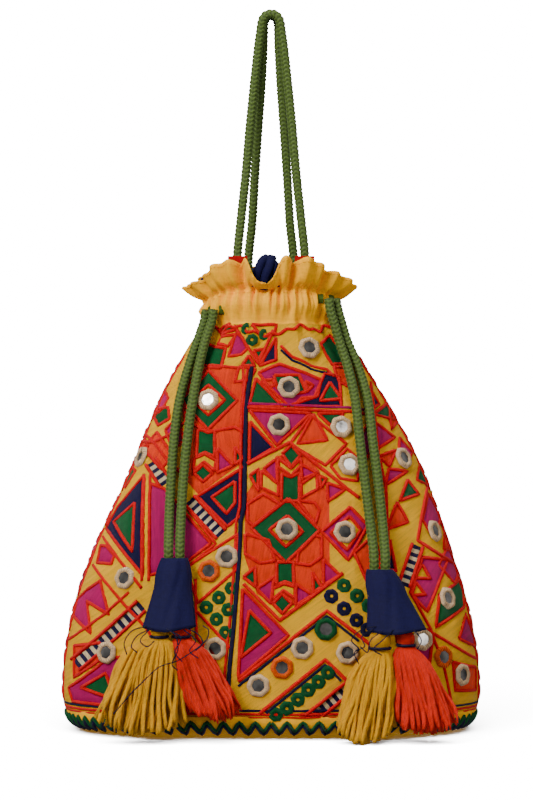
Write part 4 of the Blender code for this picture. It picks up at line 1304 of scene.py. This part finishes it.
GOLDEN_TURN = 0.381966      # of a full turn, which spreads the yarns evenly over the tassel
SKIRT_OPENS = 9.0           # how far below the tie the yarns have spread out
HEAD_YARNS, HEAD_STEPS, HEAD_YARN_RADIUS, HEAD_START, HEAD_SWEEP = 40, 10, 0.75, 8, 140
TIED = 0.75                 # how far below its middle the head is tied, as a share of its radius


def skirt_at(skirt, below):
    rows = np.array(skirt, float)
    return [float(np.interp(below, rows[:, 0], rows[:, k])) for k in (1, 2, 3)]


def yarn_route(pivot, head, skirt, across, deep, length, sway, twist):
    """One yarn of the skirt, from the tie down to its end."""
    tied = head * TIED
    centres = []
    for k in range(YARN_STEPS + 1):
        share = k / YARN_STEPS
        below = tied + (length - tied) * share
        left, right, half_y = skirt_at(skirt, below)
        x = (left + right) / 2 + across * (right - left) / 2 + sway * sin(twist + k * 0.55) * share
        y = pivot[1] + deep * half_y + sway * cos(twist + k * 0.5) * share
        open_out = min(1.0, (below - tied) / SKIRT_OPENS) ** 0.6
        x = pivot[0] + across * head * 0.5 * (1 - open_out) + (x - pivot[0]) * open_out
        y = pivot[1] + (y - pivot[1]) * (0.35 + 0.65 * open_out)
        centres.append(framed((x, y, pivot[2] - below)))
    return centres


def yarn_taper(fat, total):
    """A yarn's radius by distance along it: lumpy, and thinner at its cut end."""
    def radius(travelled):
        end = max(0.0, (travelled - total * 0.97) / (total * 0.05))
        return fat * (1 - 0.55 * min(1.0, end)) * (1 + 0.05 * sin(travelled / MM * 2.1))

    return radius


def head_route(pivot, head, turn):
    """One yarn over the tassel's round head."""
    centres = []
    for j in range(HEAD_STEPS + 1):
        polar = radians(HEAD_START + HEAD_SWEEP * j / HEAD_STEPS)
        out = head * sin(polar) * 0.93
        x, y = pivot[0] + out * cos(turn), pivot[1] + out * sin(turn)
        centres.append(framed((x, y, pivot[2] + head * cos(polar))))
    return centres


def add_tassel(name, pivot, head, skirt, material, slot, seed):
    random = Random(seed)
    batch = Batch()
    longest = skirt[-1][0]
    for i in range(YARNS):
        spot = 2 * pi * i * GOLDEN_TURN
        reach = ((i + 0.5) / YARNS) ** 0.5
        across, deep = cos(spot) * reach, sin(spot) * reach
        length = longest * random.uniform(0.92, 1.0) * (1 - 0.13 * across * across)
        sway, twist = random.uniform(-YARN_SWAY, YARN_SWAY), random.uniform(0, 6)
        centres = yarn_route(pivot, head, skirt, across, deep, length, sway, twist)
        fat = YARN_RADIUS * random.uniform(0.9, 1.15) * MM
        points, faces, uvs = tube(centres, yarn_taper(fat, length * MM), sides=7)
        batch.add(points, faces, [(u * 0.5 + v, v * 1.2 - u * 0.9) for u, v in uvs])
    for k in range(HEAD_YARNS):
        batch.add_tube(head_route(pivot, head, 2 * pi * k / HEAD_YARNS), HEAD_YARN_RADIUS, sides=5)
    tassel = batch.piece(f"{name}_yarn", material, slot, name)
    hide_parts(name)


# Loose navy threads, in millimetres: the long one, then the short ones with the body each rides on
LONG_THREAD = ((-47, -106, 80), (-43, -108, 77), (-45, -110, 70), (-63, -111, 57), (-77, -112, 52),
               (-89, -112, 41), (-97, -112, 33), (-108, -112, 20))
THREAD_RADIUS, THREAD_STEP = 0.42, 1.5
LOOSE_THREADS = (
    ("left_yellow_tassel", ((-86, -99, 79), (-96, -103, 76), (-101, -107, 68), (-99, -108, 60))),
    ("left_yellow_tassel", ((-82, -103, 78), (-92, -106, 73), (-96, -110, 66), (-92, -111, 62))),
    ("left_yellow_tassel", ((-72, -107, 78), (-66, -110, 74), (-64, -112, 64), (-68, -113, 54),
                            (-64, -113, 50))),
    ("left_yellow_tassel", ((-70, -107, 77), (-62, -110, 72), (-66, -112, 62), (-61, -113, 56))),
    ("left_orange_tassel", ((-58, -104, 78), (-50, -107, 74), (-47, -108, 68), (-52, -109, 63))),
    ("left_orange_tassel", ((-60, -104, 77), (-52, -108, 70), (-56, -111, 63), (-50, -111, 58))),
    ("left_yellow_tassel", ((-84, -104, 77), (-90, -108, 70), (-85, -111, 66), (-80, -112, 70))),
    ("right_yellow_tassel", ((72, -100, 79), (62, -104, 77), (55, -107, 70), (60, -109, 64), (54, -109, 58))),
    ("right_yellow_tassel", ((70, -102, 77), (62, -106, 72), (64, -109, 66), (57, -110, 62), (60, -110, 54))),
    ("right_yellow_tassel", ((76, -104, 76), (68, -108, 70), (66, -110, 62), (61, -111, 66))),
    ("right_yellow_tassel", ((84, -104, 77), (76, -109, 70), (70, -110, 64), (76, -110, 60))),
    ("right_orange_tassel", ((98, -102, 77), (103, -107, 70), (100, -109, 64))),
)


def add_loose_threads(material):
    for body in sorted({body for body, _ in LOOSE_THREADS}):
        batch = Batch()
        for owner, route in LOOSE_THREADS:
            if owner == body:
                path = smooth_route([framed(p) for p in route], THREAD_STEP * MM)
                batch.add_tube(path, THREAD_RADIUS, sides=5)
        batch.piece(f"{body}_threads", material, "navy_thread", body)
    path = smooth_route([framed(p) for p in LONG_THREAD], THREAD_STEP * MM)
    batch = Batch()
    batch.add_tube(path, THREAD_RADIUS)
    thread = batch.piece("long_loose_thread", material, "navy_thread", "left_yellow_tassel")


# --- put together --------------------------------------------------------------------------------

navy_cloth = woven_material("navy_cloth", NAVY_CLOTH, speckle=1.2)
yellow_cloth = woven_material("yellow_cloth", YELLOW_CLOTH, roughness=0.7)
red_cloth = woven_material("red_cloth", RED_CLOTH, roughness=0.7)
navy_thread = thread_material("navy_thread", NAVY)
green_thread = thread_material("green_thread", GREEN)
ropes = {RED: thread_material("red_thread", RED, pitch=0.8), NAVY: navy_thread,
         MAGENTA: thread_material("magenta_thread", MAGENTA)}
rings = {CREAM: thread_material("ring_thread", CREAM, pitch=0.7), NAVY: navy_thread, GREEN: green_thread,
         RING_ORANGE: thread_material("orange_ring_thread", RING_ORANGE, pitch=0.7)}
yarns = {"yellow": thread_material("yellow_yarn", YELLOW_YARN, pitch=0.8, sheen=0.04),
         "orange": thread_material("orange_yarn", ORANGE_YARN, pitch=0.8, sheen=0.04)}

add_embroidery(thread_material("embroidery", pitch=0.62), ropes, rings)
add_bottom(yellow_cloth, ropes[RED], green_thread, navy_thread)
add_neck(yellow_cloth, ropes[RED])
add_lining(navy_cloth)
add_lining_folds(navy_cloth)
for cap in CAPS:
    add_cap(*cap, navy_cloth)
add_cords()
for seed, (name, yarn, pivot, head, skirt) in enumerate(TASSELS):
    add_tassel(name, pivot, head, skirt, yarns[yarn], f"{yarn}_yarn", seed)
add_loose_threads(navy_thread)

cord_run = woven_material("cord_run", CORD_GREEN)
finishes = {"base_panel": yellow_cloth, "left_handle_tab": red_cloth, "right_handle_tab": red_cloth,
            "left_drawcord_run": cord_run, "right_drawcord_run": cord_run}
glass = mirror_material()
for piece in bpy.data.objects:
    if piece.type != "MESH":
        continue
    finish = finishes.get(piece.name)
    if "_mirror_" in piece.name:
        finish = glass
    if piece.name.endswith("_tie"):
        finish = navy_thread
    if finish:
        piece.data.materials.clear()
        piece.data.materials.append(finish)


# --- camera, light and floor ---------------------------------------------------------------------

FLOOR_RADIUS, FLOOR_DROP, WHITE = 3.0, 2.5 * MM, 18
SUN_ENERGY, SUN_SPREAD, SUN_TURN = 70, radians(70), (radians(38), 0, radians(-12))
WORLD_STRENGTH = 0.3
BAG_MIDDLE = (0, 0, -0.28)
CAMERA_LENS, CAMERA_SENSOR, CAMERA_PLACE = 124.1, 36, (-0.0033, -2.0, -0.275)

# Each lamp: name, place, size and power
LAMPS = (
    ("key", (-1.5, -2.0, 1.3), (1.0, 1.0), 118),
    ("fill", (1.8, -1.8, 0.4), (1.4, 1.4), 22),
    ("top", (0, -0.3, 2.0), (1.2, 1.2), 28),
)


def add_light(name, location, size, power):
    light = bpy.data.lights.new(name, "AREA")
    light.shape = "RECTANGLE"
    light.size, light.size_y = size
    light.energy = power
    lamp = bpy.data.objects.new(name, light)
    lamp.location = location
    lamp.rotation_euler = (Vector(BAG_MIDDLE) - Vector(location)).to_track_quat("-Z", "Y").to_euler()
    bpy.context.scene.collection.objects.link(lamp)


def turned_mesh(name, profile, columns=96):
    """A surface turned about the upright axis through the bag, from (radius, height) pairs."""
    turns = [2 * pi * c / columns for c in range(columns)]
    points = [(r * cos(turn), r * sin(turn), z) for r, z in profile for turn in turns]
    mesh = bpy.data.meshes.new(name)
    mesh.from_pydata(points, [], grid_faces(len(profile), columns))
    mesh.shade_smooth()
    piece = bpy.data.objects.new(name, mesh)
    bpy.context.scene.collection.objects.link(piece)
    piece.visible_diffuse = False
    piece.visible_glossy = False
    return piece


def add_stage():
    """A white floor that takes the shadow, inside a bright bowl that is white from every side."""
    floor_z = BASE_Z - FLOOR_DROP
    floor = turned_mesh("floor", ((0.001, floor_z), (0.5, floor_z), (FLOOR_RADIUS, floor_z)))
    material, _, _, shader = new_material("floor", 0.9)
    shader.inputs["Base Color"].default_value = (0.95, 0.95, 0.95, 1)
    shader.inputs["Specular IOR Level"].default_value = 0.0
    floor.data.materials.append(material)

    bowl = turned_mesh("bowl", ((FLOOR_RADIUS, floor_z), (9, floor_z), (11, 1), (12, 6), (7, 11), (0.01, 12)))
    bowl.visible_shadow = False
    material, _, _, shader = new_material("bowl", 0.9)
    shader.inputs["Base Color"].default_value = (0, 0, 0, 1)
    shader.inputs["Emission Color"].default_value = (1, 1, 1, 1)
    shader.inputs["Emission Strength"].default_value = WHITE
    bowl.data.materials.append(material)
    return floor


def add_floor_light(floor):
    """A wide soft sun that lights the floor alone, so that it is white and takes the bag's faint shadow."""
    only = bpy.data.collections.new("floor_only")
    only.objects.link(floor)
    light = bpy.data.lights.new("floor_sun", "SUN")
    light.energy = SUN_ENERGY
    light.angle = SUN_SPREAD
    sun = bpy.data.objects.new("floor_sun", light)
    sun.rotation_euler = SUN_TURN
    bpy.context.scene.collection.objects.link(sun)
    sun.light_linking.receiver_collection = only


for lamp in LAMPS:
    add_light(*lamp)
add_floor_light(add_stage())

world = bpy.context.scene.world or bpy.data.worlds.new("studio")
bpy.context.scene.world = world
world.use_nodes = True
world.node_tree.nodes["Background"].inputs["Color"].default_value = (1, 1, 1, 1)
world.node_tree.nodes["Background"].inputs["Strength"].default_value = WORLD_STRENGTH

camera_data = bpy.data.cameras.new("camera")
camera_data.lens = CAMERA_LENS
camera_data.sensor_width = CAMERA_SENSOR
camera = bpy.data.objects.new("camera", camera_data)
camera.location = CAMERA_PLACE
camera.rotation_euler = (pi / 2, 0, 0)
bpy.context.scene.collection.objects.link(camera)
bpy.context.scene.camera = camera
